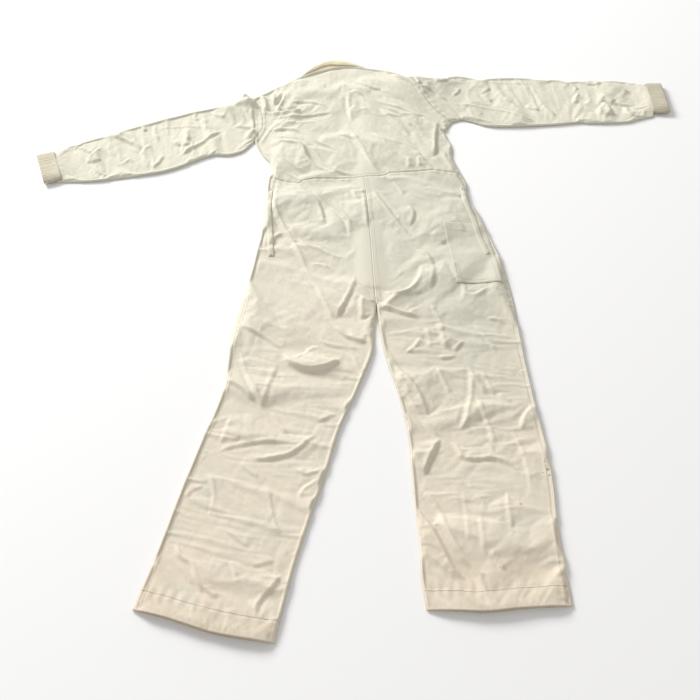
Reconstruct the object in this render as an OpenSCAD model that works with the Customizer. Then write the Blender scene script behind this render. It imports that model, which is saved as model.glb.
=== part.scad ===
/* [Cloth] */
// Thickness of one cloth panel with its seam allowances
cloth_t = 1.4; // [1:0.1:2]
// Height that the back of the body stands above the front
body_rise = 30; // [20:1:36]
// Height that a leg's back panel stands above its front
leg_rise = 27; // [18:1:34]
// Height that a sleeve's back panel stands above its front
sleeve_rise = 24; // [16:1:30]
// Height of the collar as it lies
collar_rise = 36; // [28:1:42]

/* [Legs] */
// Width of a leg opening, laid flat
hem_w = 253; // [230:1:270]
// Width of a leg at the hip swing
thigh_w = 297; // [285:1:302]
// Width of a leg just above the knee
knee_w = 262; // [240:1:280]

/* [Sleeves] */
// Width of a sleeve at its root, laid flat
sleeve_root_w = 196; // [180:1:205]
// Width of a sleeve where the cuff is sewn on
sleeve_end_w = 116; // [104:1:130]
// Width of the left knit cuff
cuff_left_w = 106; // [96:1:116]
// Width of the right knit cuff
cuff_right_w = 120; // [100:1:130]
// Length of a knit cuff along the arm
cuff_len = 32; // [24:1:40]
// Outer height of a knit cuff as it lies
cuff_h = 15; // [12:0.5:20]
// Wall of a knit cuff
cuff_wall = 2.4; // [1.5:0.1:3]

/* [Zip] */
// Length of the front zip's teeth
zip_len = 655; // [600:5:665]
// Width of one row of teeth
teeth_w = 2.6; // [2:0.1:3]
// Thickness of the teeth
teeth_t = 2.4; // [2:0.1:2.6]
// Gap between the two rows, where the slider's post runs
teeth_gap = 1.2; // [1:0.1:1.6]
// Width of one zip tape
tape_w = 14; // [12:1:18]
// Length of the zip slider
slider_len = 11; // [9:1:14]
// Length of the zip pull
pull_len = 30; // [22:1:40]

/* [Pockets] */
// Width of the hip patch pocket
hip_pocket_w = 116; // [100:1:120]
// Depth of the hip patch pocket
hip_pocket_l = 180; // [150:1:184]
// Width of a chest pocket
chest_pocket_w = 110; // [90:1:112]
// Depth of a chest pocket
chest_pocket_l = 115; // [100:1:118]

/* [Hidden] */
$fn = 96;
eps = 0.1;
seam_gap = 0.2;       // between two panels that are sewn edge to edge
swing_gap = 0.5;      // between two panels that swing past each other
across = 16;          // steps across an arched panel
roundness = 2.6;      // 2 is an ellipse, more is boxier
tall = 200;           // taller than anything here, for cutting
far = 2000;           // wider than anything here, for cutting

zip_x = 18;           // the front zip and the centre seams
waist_y = 330;        // waist seam
neck_y = 722;         // back neck seam
crotch_y = -68;
crotch_w = 10;        // gap between the legs at the crotch

// swing centres and the round seams about them, [x, y, radius]
arm_left = [-290, 545, 116];
arm_right = [205, 628, 112];
hip_left = [-130, -175, 159];
hip_right = [185, -175, 156];

back_z = cloth_t + 0.4;            // lower edge of every back panel
inside_z = cloth_t + eps;          // anything that lies on the front panels' inside
shell_white = [0.93, 0.90, 0.82];
leg_white = [0.93, 0.88, 0.79];
inner_white = [0.88, 0.84, 0.72];
knit_khaki = [0.76, 0.69, 0.50];
tape_white = [0.86, 0.82, 0.70];
brass = [0.78, 0.62, 0.34];

// limbs: centre line from the swing centre to the seam at the end
left_sleeve_dir = [-0.936, -0.352];
right_sleeve_dir = [1, 0.004];
left_leg_dir = [-0.246, -0.969];
right_leg_dir = [0.08, -0.997];
left_sleeve_len = 499;
right_sleeve_len = 568;
left_leg_len = 607;
right_leg_len = 562;

function at(p, dir, s) = [p[0] + dir[0] * s, p[1] + dir[1] * s];
function side(dir) = [-dir[1], dir[0]];

// one cross row of a panel: [one edge, other edge, rise]
function limb_row(p, dir, s, w, rise) =
    [at(at(p, dir, s), side(dir), -w / 2), at(at(p, dir, s), side(dir), w / 2), rise];
// stations are [distance along the limb, width, rise]
function limb_rows(p, dir, stations) =
    [for (k = stations) limb_row(p, dir, k[0], k[1], k[2])];
function body_row(y, x0, x1, rise) = [[x0, y], [x1, y], rise];

left_leg_rows = limb_rows(hip_left, left_leg_dir, [
    [-190, thigh_w + 20, body_rise], [-90, thigh_w + 10, body_rise],
    [0, thigh_w + 3, body_rise], [60, thigh_w - 12, leg_rise + 2],
    [120, knee_w + 8, leg_rise], [220, knee_w, leg_rise],
    [420, hem_w, leg_rise - 3], [left_leg_len, hem_w + 1, leg_rise - 4]]);
right_leg_rows = limb_rows(hip_right, right_leg_dir, [
    [-190, thigh_w + 20, body_rise], [-90, thigh_w + 10, body_rise],
    [0, thigh_w, body_rise], [60, thigh_w - 14, leg_rise + 2],
    [120, knee_w + 9, leg_rise], [220, knee_w + 4, leg_rise],
    [430, hem_w + 4, leg_rise - 3], [right_leg_len, hem_w, leg_rise - 4]]);
left_sleeve_rows = limb_rows(arm_left, left_sleeve_dir, [
    [-150, 250, sleeve_rise + 14], [-60, 236, sleeve_rise + 14],
    [0, sleeve_root_w + 10, sleeve_rise + 10], [95, sleeve_root_w - 12, sleeve_rise],
    [200, sleeve_root_w - 10, sleeve_rise], [300, 174, sleeve_rise],
    [400, 152, sleeve_rise - 4], [470, 124, 18], [left_sleeve_len, sleeve_end_w - 4, 15]]);
right_sleeve_rows = limb_rows(arm_right, right_sleeve_dir, [
    [-150, 250, sleeve_rise + 6], [-60, 236, sleeve_rise + 6],
    [0, sleeve_root_w - 4, sleeve_rise + 4], [100, 186, sleeve_rise],
    [200, 190, sleeve_rise], [300, 184, sleeve_rise],
    [400, 168, sleeve_rise - 2], [500, 158, 20], [right_sleeve_len, sleeve_end_w + 14, 16]]);

bodice_rows = [
    body_row(waist_y + seam_gap, -226, 250, body_rise),
    body_row(400, -240, 229, body_rise),
    body_row(440, -262, 229, body_rise),
    body_row(500, -300, 216, body_rise),
    body_row(545, -310, 240, body_rise),
    body_row(630, -290, 250, body_rise),
    body_row(680, -216, 250, body_rise - 2),
    body_row(neck_y, -159, 140, body_rise - 4)];
seat_rows = [
    body_row(-150, -280, 332, body_rise),
    body_row(-60, -266, 327, body_rise),
    body_row(20, -254, 319, body_rise),
    body_row(100, -240, 302, body_rise),
    body_row(180, -232, 284, body_rise),
    body_row(250, -230, 258, body_rise),
    body_row(waist_y, -226, 250, body_rise)];
// the collar's rows fan out from its right end, and its last row is the neck opening
collar_rows = [
    body_row(neck_y + seam_gap, -158, 139, body_rise - 3),
    [[-147, 742], [134, 726], collar_rise - 3],
    [[-120, 770], [126, 730], collar_rise],
    [[-66, 794], [112, 734], collar_rise - 2]];
stand_rows = [
    body_row(neck_y - 2, -132, 112, body_rise - 12),
    [[-118, 738], [110, 723], body_rise - 10],
    [[-98, 756], [104, 727], body_rise - 10]];

// height of an arch at a share u of its width, 0 at both edges
function arch(u) = pow(max(0, 1 - pow(abs(2 * u - 1), roundness)), 1 / roundness);
// steps that crowd towards the edges, where the arch is steep
function share(i) = (1 - cos(180 * i / across)) / 2;
function arch_point(row, i, z) = [
    row[0][0] + (row[1][0] - row[0][0]) * share(i),
    row[0][1] + (row[1][1] - row[0][1]) * share(i),
    z + row[2] * arch(share(i))];
function sheet_points(rows, z) =
    [for (row = rows) for (i = [0:across]) arch_point(row, i, z)];

// a closed cloth panel that arches over the rows
module arched_panel(rows, z = back_z, t = cloth_t) {
    n = across + 1;
    r = len(rows);
    low = n * r;
    points = concat(sheet_points(rows, z + t), sheet_points(rows, z));
    top = [for (j = [0:r - 2]) for (i = [0:across - 1])
        for (f = [[j * n + i, (j + 1) * n + i + 1, j * n + i + 1],
                  [j * n + i, (j + 1) * n + i, (j + 1) * n + i + 1]]) f];
    bottom = [for (f = top) [low + f[0], low + f[2], low + f[1]]];
    first = [for (i = [0:across - 1]) [i, i + 1, low + i + 1, low + i]];
    last_row = (r - 1) * n;
    last = [for (i = [0:across - 1])
        [last_row + i + 1, last_row + i, low + last_row + i, low + last_row + i + 1]];
    near = [for (j = [0:r - 2]) [(j + 1) * n, j * n, low + j * n, low + (j + 1) * n]];
    off = [for (j = [0:r - 2])
        [j * n + across, (j + 1) * n + across, low + (j + 1) * n + across, low + j * n + across]];
    polyhedron(points, concat(top, bottom, first, last, near, off));
}

// the rows' plan outline
module plan(rows) {
    polygon(concat([for (row = rows) row[0]], [for (j = [len(rows) - 1:-1:0]) rows[j][1]]));
}

// everything on the limb's side of its round seam
module limb_zone(c, dir, grow = 0) {
    translate([c[0], c[1], -tall / 2]) {
        cylinder(h = tall, r = c[2] + grow);
        rotate([0, 0, atan2(dir[1], dir[0])])
            translate([0, -far / 2, 0])
                cube([far, far, tall]);
    }
}
module limb_zone_2d(c, dir, grow = 0) {
    translate([c[0], c[1]]) {
        circle(r = c[2] + grow);
        rotate(atan2(dir[1], dir[0])) translate([0, -far / 2]) square(far);
    }
}

module limb_back(rows, c, dir) {
    intersection() {
        arched_panel(rows);
        limb_zone(c, dir);
    }
}
module limb_front(rows, c, dir) {
    linear_extrude(cloth_t) intersection() {
        plan(rows);
        limb_zone_2d(c, dir);
    }
}

// the slit below the crotch, between the legs
module crotch_slit() {
    translate([29 - crotch_w / 2, crotch_y - far, -tall / 2]) cube([crotch_w, far, tall]);
}

// half of the suit: sign -1 is the left half, 1 the right half
module half(sign, gap, y0 = -far, y1 = far) {
    x0 = sign > 0 ? zip_x + gap : -far;
    translate([x0, y0, -tall / 2]) cube([sign > 0 ? far : far + zip_x - gap, y1 - y0, tall]);
}

module arm_zones() {
    limb_zone(arm_left, left_sleeve_dir, swing_gap);
    limb_zone(arm_right, right_sleeve_dir, swing_gap);
}
module leg_zones() {
    translate([hip_left[0], hip_left[1], -tall / 2]) cylinder(h = tall, r = hip_left[2] + swing_gap);
    translate([hip_right[0], hip_right[1], -tall / 2]) cylinder(h = tall, r = hip_right[2] + swing_gap);
    translate([-far / 2, hip_left[1] - far + 20, -tall / 2]) cube([far, far, tall]);
    crotch_slit();
}

/* ---- body ---- */

module back_bodice() color(shell_white) difference() {
    arched_panel(bodice_rows);
    arm_zones();
}

slider_room = 7;          // half of the gap between the fronts, where the slider runs
front_neck_y = 662;       // where the fronts meet below the neck
zip_top = front_neck_y - 6;
zip_foot = zip_top - zip_len;
pull_room = 24;           // the pull hangs past the foot of the zip when the slider is down

// the front below the shoulders, cut away at the neck
module front_plan() {
    difference() {
        plan(bodice_rows);
        polygon([[-150, neck_y + 1], [-120, 700], [-60, 672], [zip_x, front_neck_y],
                 [75, 672], [115, 700], [134, neck_y + 1]]);
    }
}
module chest_pocket_plan(sign, grow = 0) {
    x = sign < 0 ? -160 : 82;
    translate([x - grow, 392 - grow]) square([chest_pocket_w + 2 * grow, chest_pocket_l + 2 * grow]);
}
// each front steps up over its pocket, so that the pocket lies flush with it
module front_bodice(sign) color(shell_white) difference() {
    union() {
        linear_extrude(cloth_t) difference() {
            front_plan();
            chest_pocket_plan(sign, 0.4);
        }
        translate([0, 0, cloth_t - eps]) linear_extrude(cloth_t) chest_pocket_plan(sign, 8);
    }
    arm_zones();
    half(-sign, -slider_room);
}
module chest_pocket(sign) color(shell_white)
    linear_extrude(cloth_t - 2 * eps) chest_pocket_plan(sign);

module back_seat(sign) color(shell_white) intersection() {
    difference() {
        arched_panel(seat_rows);
        leg_zones();
    }
    half(sign, seam_gap / 2);
}
module front_seat(sign) color(shell_white) difference() {
    intersection() {
        linear_extrude(cloth_t) plan(seat_rows);
        half(sign, seam_gap / 2);
    }
    leg_zones();
    translate([zip_x - slider_room, zip_foot - pull_room, -1])
        cube([2 * slider_room, far, tall]);
}

// the hip pocket lies on the right seat panel and follows its arch
module hip_pocket() color(shell_white) intersection() {
    arched_panel(seat_rows, back_z + cloth_t + 2 * eps, 1.2);
    translate([308 - hip_pocket_w, -10, 0]) linear_extrude(tall)
        polygon([[-6, hip_pocket_l], [hip_pocket_w - 24, hip_pocket_l], [hip_pocket_w, 0], [6, 0]]);
}

// the leaf's two front ends reach a little past the arch, which stands on them
module collar_leaf() color(inner_white) {
    arched_panel(collar_rows, z = 0);
    linear_extrude(cloth_t) {
        polygon([[-158.6, neck_y + 0.4], [-149, neck_y + 0.4], [-119, 702], [-59, 674],
                 [zip_x - 8, front_neck_y + 3], [zip_x - 8, 715], [-30, 745],
                 [-66, 794.5], [-120.5, 770.5], [-147.6, 742.4]]);
        polygon([[139.6, neck_y + 0.4], [132, neck_y + 0.4], [114, 702], [74, 674],
                 [zip_x + 8, front_neck_y + 3], [zip_x + 8, 715], [60, 736],
                 [112.6, 734.4], [126.5, 730.5], [134.5, 726.5]]);
    }
}
// the stand lies inside the leaf, round the neck opening
module collar_stand() color(inner_white) {
    arched_panel(stand_rows, z = inside_z);
    translate([0, 0, inside_z]) linear_extrude(cloth_t) {
        polygon([[-132, neck_y - 2], [-104, 701], [zip_x - 9, 672], [zip_x - 9, 700],
                 [-80, 722], [-98, 756], [-118, 738]]);
        polygon([[112, neck_y - 2], [98, 701], [zip_x + 9, 672], [zip_x + 9, 700],
                 [84, 716], [104, 727], [110, 723]]);
    }
}

/* ---- side openings and pocket bags ---- */

vent_y = 75;              // lower end of a side opening
vent_len = 200;

module vent_facing(sign) color(inner_white) {
    x = sign < 0 ? -213 : 226;
    translate([0, 0, inside_z]) linear_extrude(1.2)
        polygon([[x - 9 + (sign < 0 ? -6 : 36), vent_y], [x + 9 + (sign < 0 ? -6 : 36), vent_y],
                 [x + 9, vent_y + vent_len], [x - 9, vent_y + vent_len]]);
}
module vent_bartacks() color("white") {
    for (p = [[-219, vent_y + 4], [-213, vent_y + vent_len - 4],
              [260, vent_y + 4], [227, vent_y + vent_len - 4]])
        translate([p[0] - 6, p[1] - 1.2, inside_z + 1.3]) cube([12, 2.4, 0.8]);
}
module vent_snaps() color(brass) {
    for (p = [[-214, 215], [236, 215]])
        translate([p[0], p[1], inside_z + 1.3]) {
            cylinder(h = 1, d = 10);
            cylinder(h = 2.4, d = 4.4);
        }
}
module pocket_bag(sign) color(inner_white) {
    translate([0, 0, inside_z]) linear_extrude(1.2)
        if (sign < 0)
            polygon([[-196, 90], [-196, 270], [-110, 300], [-84, 270], [-84, 20], [-120, 2], [-180, 2]]);
        else
            polygon([[238, 90], [206, 270], [140, 300], [112, 270], [112, 20], [140, 2], [226, 2]]);
}

/* ---- front zip ---- */

tape_t = 0.8;
facing_t = 2.6;           // folded front edge that carries the tape
tape_z = inside_z + facing_t + eps;
teeth_z = tape_z + tape_t / 2;

module front_facing(sign) color(inner_white)
    translate([sign > 0 ? zip_x + slider_room : zip_x - slider_room - 24, zip_foot - 12, inside_z])
        cube([24, zip_len + 14, facing_t]);
module zip_tape(sign) color(tape_white)
    translate([zip_x + sign * (teeth_gap / 2 + teeth_w + tape_w / 2), zip_foot + zip_len / 2, teeth_z])
        cube([tape_w, zip_len + 16, tape_t], center = true);
module zip_teeth(sign) color(brass)
    translate([zip_x + sign * (teeth_gap + teeth_w) / 2, zip_foot + zip_len / 2, teeth_z])
        cube([teeth_w, zip_len, teeth_t], center = true);
module zip_stops() color(brass) {
    stop_l = 3;
    translate([zip_x, zip_foot - stop_l / 2 - 0.2, teeth_z])
        cube([teeth_gap + 2 * teeth_w, stop_l, teeth_t], center = true);
    for (s = [-1, 1])
        translate([zip_x + s * (teeth_gap + teeth_w) / 2, zip_top + stop_l / 2 + 0.2, teeth_z])
            cube([teeth_w, stop_l, teeth_t], center = true);
}

plate_t = 0.8;            // slider's two plates
slider_w = 10;
slider_air = 0.4;         // between the slider's plates and the teeth
slider_y = zip_top - slider_len / 2 - 2;
plate_z = teeth_t / 2 + slider_air;
pin_r = 0.5;
pin_z = 1.1;
eye_r = 0.85;
module zip_slider() color(brass) translate([zip_x, slider_y, teeth_z]) {
    flange_h = plate_z - tape_t / 2 - 0.4;
    for (s = [-1, 1]) {
        translate([0, 0, s * (plate_z + plate_t / 2)])
            cube([slider_w, slider_len, plate_t], center = true);
        for (e = [-1, 1])
            translate([e * (slider_w / 2 - 0.5), 0, s * (plate_z - flange_h / 2 + eps / 2)])
                cube([1, slider_len, flange_h + eps], center = true);
    }
    translate([0, slider_len / 2 - 2, 0]) cube([0.6, 3, 2 * plate_z + eps], center = true);
    ear_top = plate_z + plate_t - eps;
    ear_drop = teeth_z - pin_z + 0.6;
    for (s = [-1, 1])
        translate([s * 2.2 - 0.4, -1, -ear_drop]) cube([0.8, 2, ear_drop - ear_top]);
    translate([0, 0, pin_z - teeth_z]) rotate([0, 90, 0]) cylinder(h = 5.2, r = pin_r, center = true);
}
module zip_pull() color(brass) translate([zip_x, slider_y, pin_z]) {
    difference() {
        union() {
            rotate([0, 90, 0]) cylinder(h = 3, r = eye_r, center = true);
            translate([-1.5, -4, -0.5]) cube([3, 4, 1]);
            difference() {
                translate([-3, 1 - pull_len, -0.5]) cube([6, pull_len - 4, 1]);
                translate([0, 5 - pull_len, -1]) cylinder(h = 2, d = 2.6);
            }
        }
        rotate([0, 90, 0]) cylinder(h = 4, r = pin_r + 0.06, center = true);
    }
}

/* ---- limbs ---- */

module left_sleeve_back() color(shell_white) limb_back(left_sleeve_rows, arm_left, left_sleeve_dir);
module left_sleeve_front() color(shell_white) limb_front(left_sleeve_rows, arm_left, left_sleeve_dir);
module right_sleeve_back() color(shell_white) limb_back(right_sleeve_rows, arm_right, right_sleeve_dir);
module right_sleeve_front() color(shell_white) limb_front(right_sleeve_rows, arm_right, right_sleeve_dir);

// a flattened knit tube, round at both sides
module cuff_ring(w, h) {
    circle(d = h);
    translate([-(w - h), -h / 2]) square([w - h, h]);
    translate([-(w - h), 0]) circle(d = h);
}
module cuff(c, dir, s, w) color(knit_khaki)
    translate([c[0] + dir[0] * s, c[1] + dir[1] * s, cuff_h / 2])
        rotate([0, 0, atan2(dir[1], dir[0])])
            rotate([90, 0, 90])
                translate([(w - cuff_h) / 2, 0, seam_gap])
                    linear_extrude(cuff_len) difference() {
                        cuff_ring(w, cuff_h);
                        cuff_ring(w - 2 * cuff_wall, cuff_h - 2 * cuff_wall);
                    }

module left_leg_back() color(leg_white) limb_back(left_leg_rows, hip_left, [0, -1]);
module left_leg_front() color(leg_white) limb_front(left_leg_rows, hip_left, [0, -1]);
module right_leg_back() color(leg_white) limb_back(right_leg_rows, hip_right, [0, -1]);
module right_leg_front() color(leg_white) limb_front(right_leg_rows, hip_right, [0, -1]);

back_bodice();
front_bodice(-1);  // front_bodice_left
front_bodice(1);  // front_bodice_right
back_seat(-1);  // back_seat_left
back_seat(1);  // back_seat_right
front_seat(-1);  // front_seat_left
front_seat(1);  // front_seat_right
hip_pocket();
chest_pocket(-1);  // chest_pocket_left
chest_pocket(1);  // chest_pocket_right
collar_leaf();
collar_stand();
vent_facing(-1);  // vent_facing_left
vent_facing(1);  // vent_facing_right
vent_bartacks();
vent_snaps();
pocket_bag(-1);  // pocket_bag_left
pocket_bag(1);  // pocket_bag_right
front_facing(-1);  // front_facing_left
front_facing(1);  // front_facing_right
zip_tape(-1);  // zip_tape_left
zip_tape(1);  // zip_tape_right
zip_teeth(-1);  // zip_teeth_left
zip_teeth(1);  // zip_teeth_right
zip_stops();
zip_slider();
zip_pull();
left_sleeve_back();
left_sleeve_front();
cuff(arm_left, left_sleeve_dir, left_sleeve_len, cuff_left_w);  // left_cuff
right_sleeve_back();
right_sleeve_front();
cuff(arm_right, right_sleeve_dir, right_sleeve_len, cuff_right_w);  // right_cuff
left_leg_back();
left_leg_front();
right_leg_back();
right_leg_front();
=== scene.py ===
# %% [markdown]
# # A beekeeping suit, lying face down
# The real thing is a one-piece work suit of cream polycotton twill: a bodice, a pair of trousers joined to
# it at the waist, two sleeves with knitted cuffs and a shirt collar. It lies on its front, so the back
# shows. Cloth has no shape of its own. The way here is to lay the flat cut out as one grid of points, raise
# the folds roughly where they lie, let the cloth solver settle them, and only then cut the grid back into
# its panels and sew on hems, seams, pocket and cuffs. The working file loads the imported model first, as a
# fixed frame.

# %% Load the frame
import math

import bpy
import numpy as np
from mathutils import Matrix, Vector, noise
from mathutils.bvhtree import BVHTree


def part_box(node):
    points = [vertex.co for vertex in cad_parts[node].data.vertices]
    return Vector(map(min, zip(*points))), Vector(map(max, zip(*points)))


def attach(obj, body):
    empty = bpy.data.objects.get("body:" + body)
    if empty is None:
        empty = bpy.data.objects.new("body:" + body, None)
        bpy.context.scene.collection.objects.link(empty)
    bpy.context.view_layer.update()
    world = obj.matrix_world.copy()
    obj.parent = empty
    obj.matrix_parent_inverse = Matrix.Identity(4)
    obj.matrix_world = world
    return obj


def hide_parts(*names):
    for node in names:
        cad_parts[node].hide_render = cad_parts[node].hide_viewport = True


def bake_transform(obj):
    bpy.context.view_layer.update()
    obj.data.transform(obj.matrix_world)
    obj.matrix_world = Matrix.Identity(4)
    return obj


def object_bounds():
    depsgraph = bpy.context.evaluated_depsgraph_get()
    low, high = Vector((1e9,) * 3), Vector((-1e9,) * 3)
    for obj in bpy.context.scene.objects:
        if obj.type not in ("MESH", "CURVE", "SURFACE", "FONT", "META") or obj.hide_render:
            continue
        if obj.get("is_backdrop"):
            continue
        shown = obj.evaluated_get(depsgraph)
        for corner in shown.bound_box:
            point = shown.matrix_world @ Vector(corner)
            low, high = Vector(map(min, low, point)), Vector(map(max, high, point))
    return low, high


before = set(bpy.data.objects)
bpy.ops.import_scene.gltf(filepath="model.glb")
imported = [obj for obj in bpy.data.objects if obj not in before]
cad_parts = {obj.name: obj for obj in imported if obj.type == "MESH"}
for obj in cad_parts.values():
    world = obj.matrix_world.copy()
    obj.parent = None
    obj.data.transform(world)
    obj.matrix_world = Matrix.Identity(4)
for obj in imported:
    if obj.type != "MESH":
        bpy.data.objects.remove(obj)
cad_box = [[float(x) for x in corner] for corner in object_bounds()]
scene = bpy.context.scene
MM = 0.001
print("CAD box in mm:", [[round(x / MM) for x in corner] for corner in cad_box])

# %% [markdown]
# ## Camera
# A standing person looked down at the suit from beside its feet. The camera looks 54 degrees below the
# level, from a point over the hems, with a slightly wide lens. Setting it first means every later step can
# be judged from the side that matters most.

# %% Camera
camera_data = bpy.data.cameras.new("camera")
camera_data.lens = 44.07
camera_data.sensor_width = 36
camera = bpy.data.objects.new("camera", camera_data)
camera.location = (-0.0288, -1.2322, 1.463)
camera.rotation_euler = (math.radians(90 - 54.39), 0, 0)
scene.collection.objects.link(camera)
scene.camera = camera

# %% [markdown]
# ## Floor and light
# Pale cloth needs a pale floor and broad light, or its folds turn harsh. A bright, even world lights every
# side. One large soft lamp behind the left shoulder gives each fold a light side and a shaded side. The
# Standard view keeps white paper white, which the default film-like view would grey.

# %% Floor and light
scene.view_settings.view_transform = "Standard"
world = bpy.data.worlds.new("studio")
world.use_nodes = True
world.node_tree.nodes["Background"].inputs["Color"].default_value = (1.0, 0.99, 0.975, 1)
world.node_tree.nodes["Background"].inputs["Strength"].default_value = 0.56
scene.world = world


def soft_lamp(name, place, aim, size, watts):
    """A square area lamp at place that faces aim, both in metres."""
    lamp = bpy.data.lights.new(name, "AREA")
    lamp.size = size
    lamp.energy = watts
    holder = bpy.data.objects.new(name, lamp)
    holder.location = place
    holder.rotation_euler = (Vector(aim) - Vector(place)).to_track_quat("-Z", "Y").to_euler()
    scene.collection.objects.link(holder)
    return holder


soft_lamp("window", (-4.4, 4.8, 3.3), (0, 0, 0), 2.4, 600)

floor_half = 6.0
floor_mesh = bpy.data.meshes.new("floor")
floor_corners = [(x * floor_half, y * floor_half, 0) for x, y in ((-1, -1), (1, -1), (1, 1), (-1, 1))]
floor_mesh.from_pydata(floor_corners, [], [(0, 1, 2, 3)])
floor = bpy.data.objects.new("floor", floor_mesh)
scene.collection.objects.link(floor)
floor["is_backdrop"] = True
floor_paint = bpy.data.materials.new("floor")
floor_paint.use_nodes = True
floor_paint.node_tree.nodes["Principled BSDF"].inputs["Base Color"].default_value = (0.93, 0.93, 0.93, 1)
floor_paint.node_tree.nodes["Principled BSDF"].inputs["Roughness"].default_value = 0.9
floor.data.materials.append(floor_paint)

# %% [markdown]
# ## Small tools for lines
# A cut pattern is a set of lines. These helpers turn a few listed points, in millimetres, into smooth
# lines with as many even steps as wanted. A Catmull-Rom curve passes through each of its points, so an
# outline can be read straight off the points that make it.


# %% Lines
def spaced(points, count, smooth=True):
    """count + 1 points at even distances along a line through points."""
    line = np.array(points, float)
    if smooth and len(line) > 2:
        ends = np.vstack([2 * line[0] - line[1], line, 2 * line[-1] - line[-2]])
        t = np.linspace(0, 1, 9)[:-1, None]
        curve = []
        for a, b, c, d in zip(ends[:-3], ends[1:-2], ends[2:-1], ends[3:]):
            curve.append(0.5 * (2 * b + (c - a) * t + (2 * a - 5 * b + 4 * c - d) * t**2
                                + (3 * b - a - 3 * c + d) * t**3))
        line = np.vstack(curve + [line[-1:]])
    steps = np.linalg.norm(np.diff(line, axis=0), axis=1)
    run = np.concatenate([[0], np.cumsum(steps)])
    wanted = np.linspace(0, run[-1], count + 1)
    return np.stack([np.interp(wanted, run, line[:, k]) for k in range(line.shape[1])], 1)


def joined(*lines):
    """Lines end to end, with each shared point kept once."""
    return np.vstack([lines[0]] + [line[1:] for line in lines[1:]])


# %% [markdown]
# ## The cut, as it lies
# Each list is one edge of a panel in millimetres from the middle of the suit: x to the wearer's right, y to
# the collar. Edges that are sewn together are one list, used by both panels, so the seams close exactly.
# The left edge in the lists is the wearer's left, because the suit lies on its front.

# %% Edges of the panels
SHOULDER_LINE = [(-285, 629), (-262, 645), (-216, 679), (-159, 722), (-120, 742), (-81, 759), (-42, 767),
                 (4, 761), (66, 748), (107, 735), (130, 722)]
LEFT_ARMHOLE = [(-285, 629), (-262, 590), (-252, 520), (-270, 466)]
RIGHT_ARMHOLE = [(130, 722), (148, 680), (167, 637), (195, 585), (234, 536)]
LEFT_SIDE = [(-270, 466), (-263, 441), (-245, 407), (-227, 382), (-220, 351), (-228, 330)]
RIGHT_SIDE = [(234, 536), (219, 509), (213, 494), (224, 459), (229, 430), (227, 404), (237, 368), (248, 335)]
LEFT_WAIST = [(-228, 330), (-190, 318), (-150, 311), (-114, 322), (-60, 326), (5, 329)]
RIGHT_WAIST = [(5, 329), (45, 333), (75, 346), (120, 350), (167, 350), (210, 343), (248, 335)]
SEAT_SEAM = [(5, 329), (12, 230), (18, 133), (22, 50), (26, -30), (29, -68)]
LEFT_OUTSEAM = [(-228, 330), (-230, 243), (-233, 150), (-244, 65), (-258, -25), (-270, -90), (-281, -165),
                (-282, -230), (-284, -276), (-300, -345), (-318, -405), (-348, -520),
                (-375, -634), (-404, -737)]
LEFT_INSEAM = [(29, -68), (23, -141), (19, -193), (-2, -254), (-24, -315), (-50, -381), (-76, -483),
               (-102, -568), (-131, -674), (-156, -794)]
LEFT_HEM = [(-404, -737), (-339, -754), (-261, -778), (-185, -791), (-156, -794)]
RIGHT_OUTSEAM = [(248, 335), (255, 308), (254, 273), (259, 245), (273, 213), (285, 165),
                 (302, 102), (315, 50),
                 (324, -17), (330, -90), (334, -193), (342, -321), (352, -421), (355, -502), (352, -564),
                 (353, -634), (356, -731)]
RIGHT_INSEAM = [(29, -68), (35, -141), (46, -211), (68, -292), (81, -365), (88, -425), (87, -449), (91, -538),
                (98, -621), (96, -674), (103, -738)]
RIGHT_HEM = [(103, -738), (158, -740), (207, -742), (277, -735), (356, -731)]
LEFT_SLEEVE_TOP = [(-285, 629), (-300, 646), (-310, 658), (-322, 640), (-338, 604), (-382, 592), (-445, 572),
                   (-507, 548), (-568, 521), (-651, 482), (-710, 456), (-774, 422)]
LEFT_SLEEVE_UNDER = [(-270, 466), (-286, 441), (-301, 424), (-334, 411), (-373, 411), (-420, 387),
                     (-451, 368),
                     (-493, 350), (-556, 336), (-609, 326), (-663, 318), (-743, 316)]
LEFT_SLEEVE_END = [(-774, 422), (-762, 370), (-743, 316)]
RIGHT_SLEEVE_TOP = [(130, 722), (175, 719), (214, 717), (235, 719), (255, 724), (275, 722), (295, 717),
                    (318, 709), (335, 711), (403, 717), (484, 713), (535, 708), (563, 701), (610, 705),
                    (660, 706), (711, 700), (777, 688)]
RIGHT_SLEEVE_UNDER = [(234, 536), (262, 546), (293, 536), (331, 521), (408, 521), (498, 527), (564, 536),
                      (589, 533), (680, 536), (720, 548), (760, 560)]
RIGHT_SLEEVE_END = [(777, 688), (771, 620), (760, 560)]

# %% [markdown]
# ## One grid for the whole back
# Every panel is a four-sided grid, filled in from its four edges: a point's place is a blend of the edge
# points across from it (a Coons patch). The five grids share their seam points, so the whole back can be
# settled as one cloth. Cells are about 5 mm, which is fine enough for a crease and coarse enough for the
# solver.

# %% Fill a four-sided panel


def filled(top, bottom, left, right):
    """A grid of points inside four edges: rows run from top to bottom and columns from left to right."""
    rows, columns = len(left), len(top)
    v = np.linspace(0, 1, rows)[:, None, None]
    u = np.linspace(0, 1, columns)[None, :, None]
    across = (1 - v) * top[None] + v * bottom[None]
    down = (1 - u) * left[:, None] + u * right[:, None]
    corners = ((1 - u) * (1 - v) * top[0] + u * (1 - v) * top[-1]
               + (1 - u) * v * bottom[0] + u * v * bottom[-1])
    return across + down - corners


half_columns = 52
bodice_rows = 80
left_armhole_rows = 36
right_armhole_rows = 42
seat_rows = 80
inseam_rows = 146
left_sleeve_rows = 100
right_sleeve_rows = 116

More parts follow.
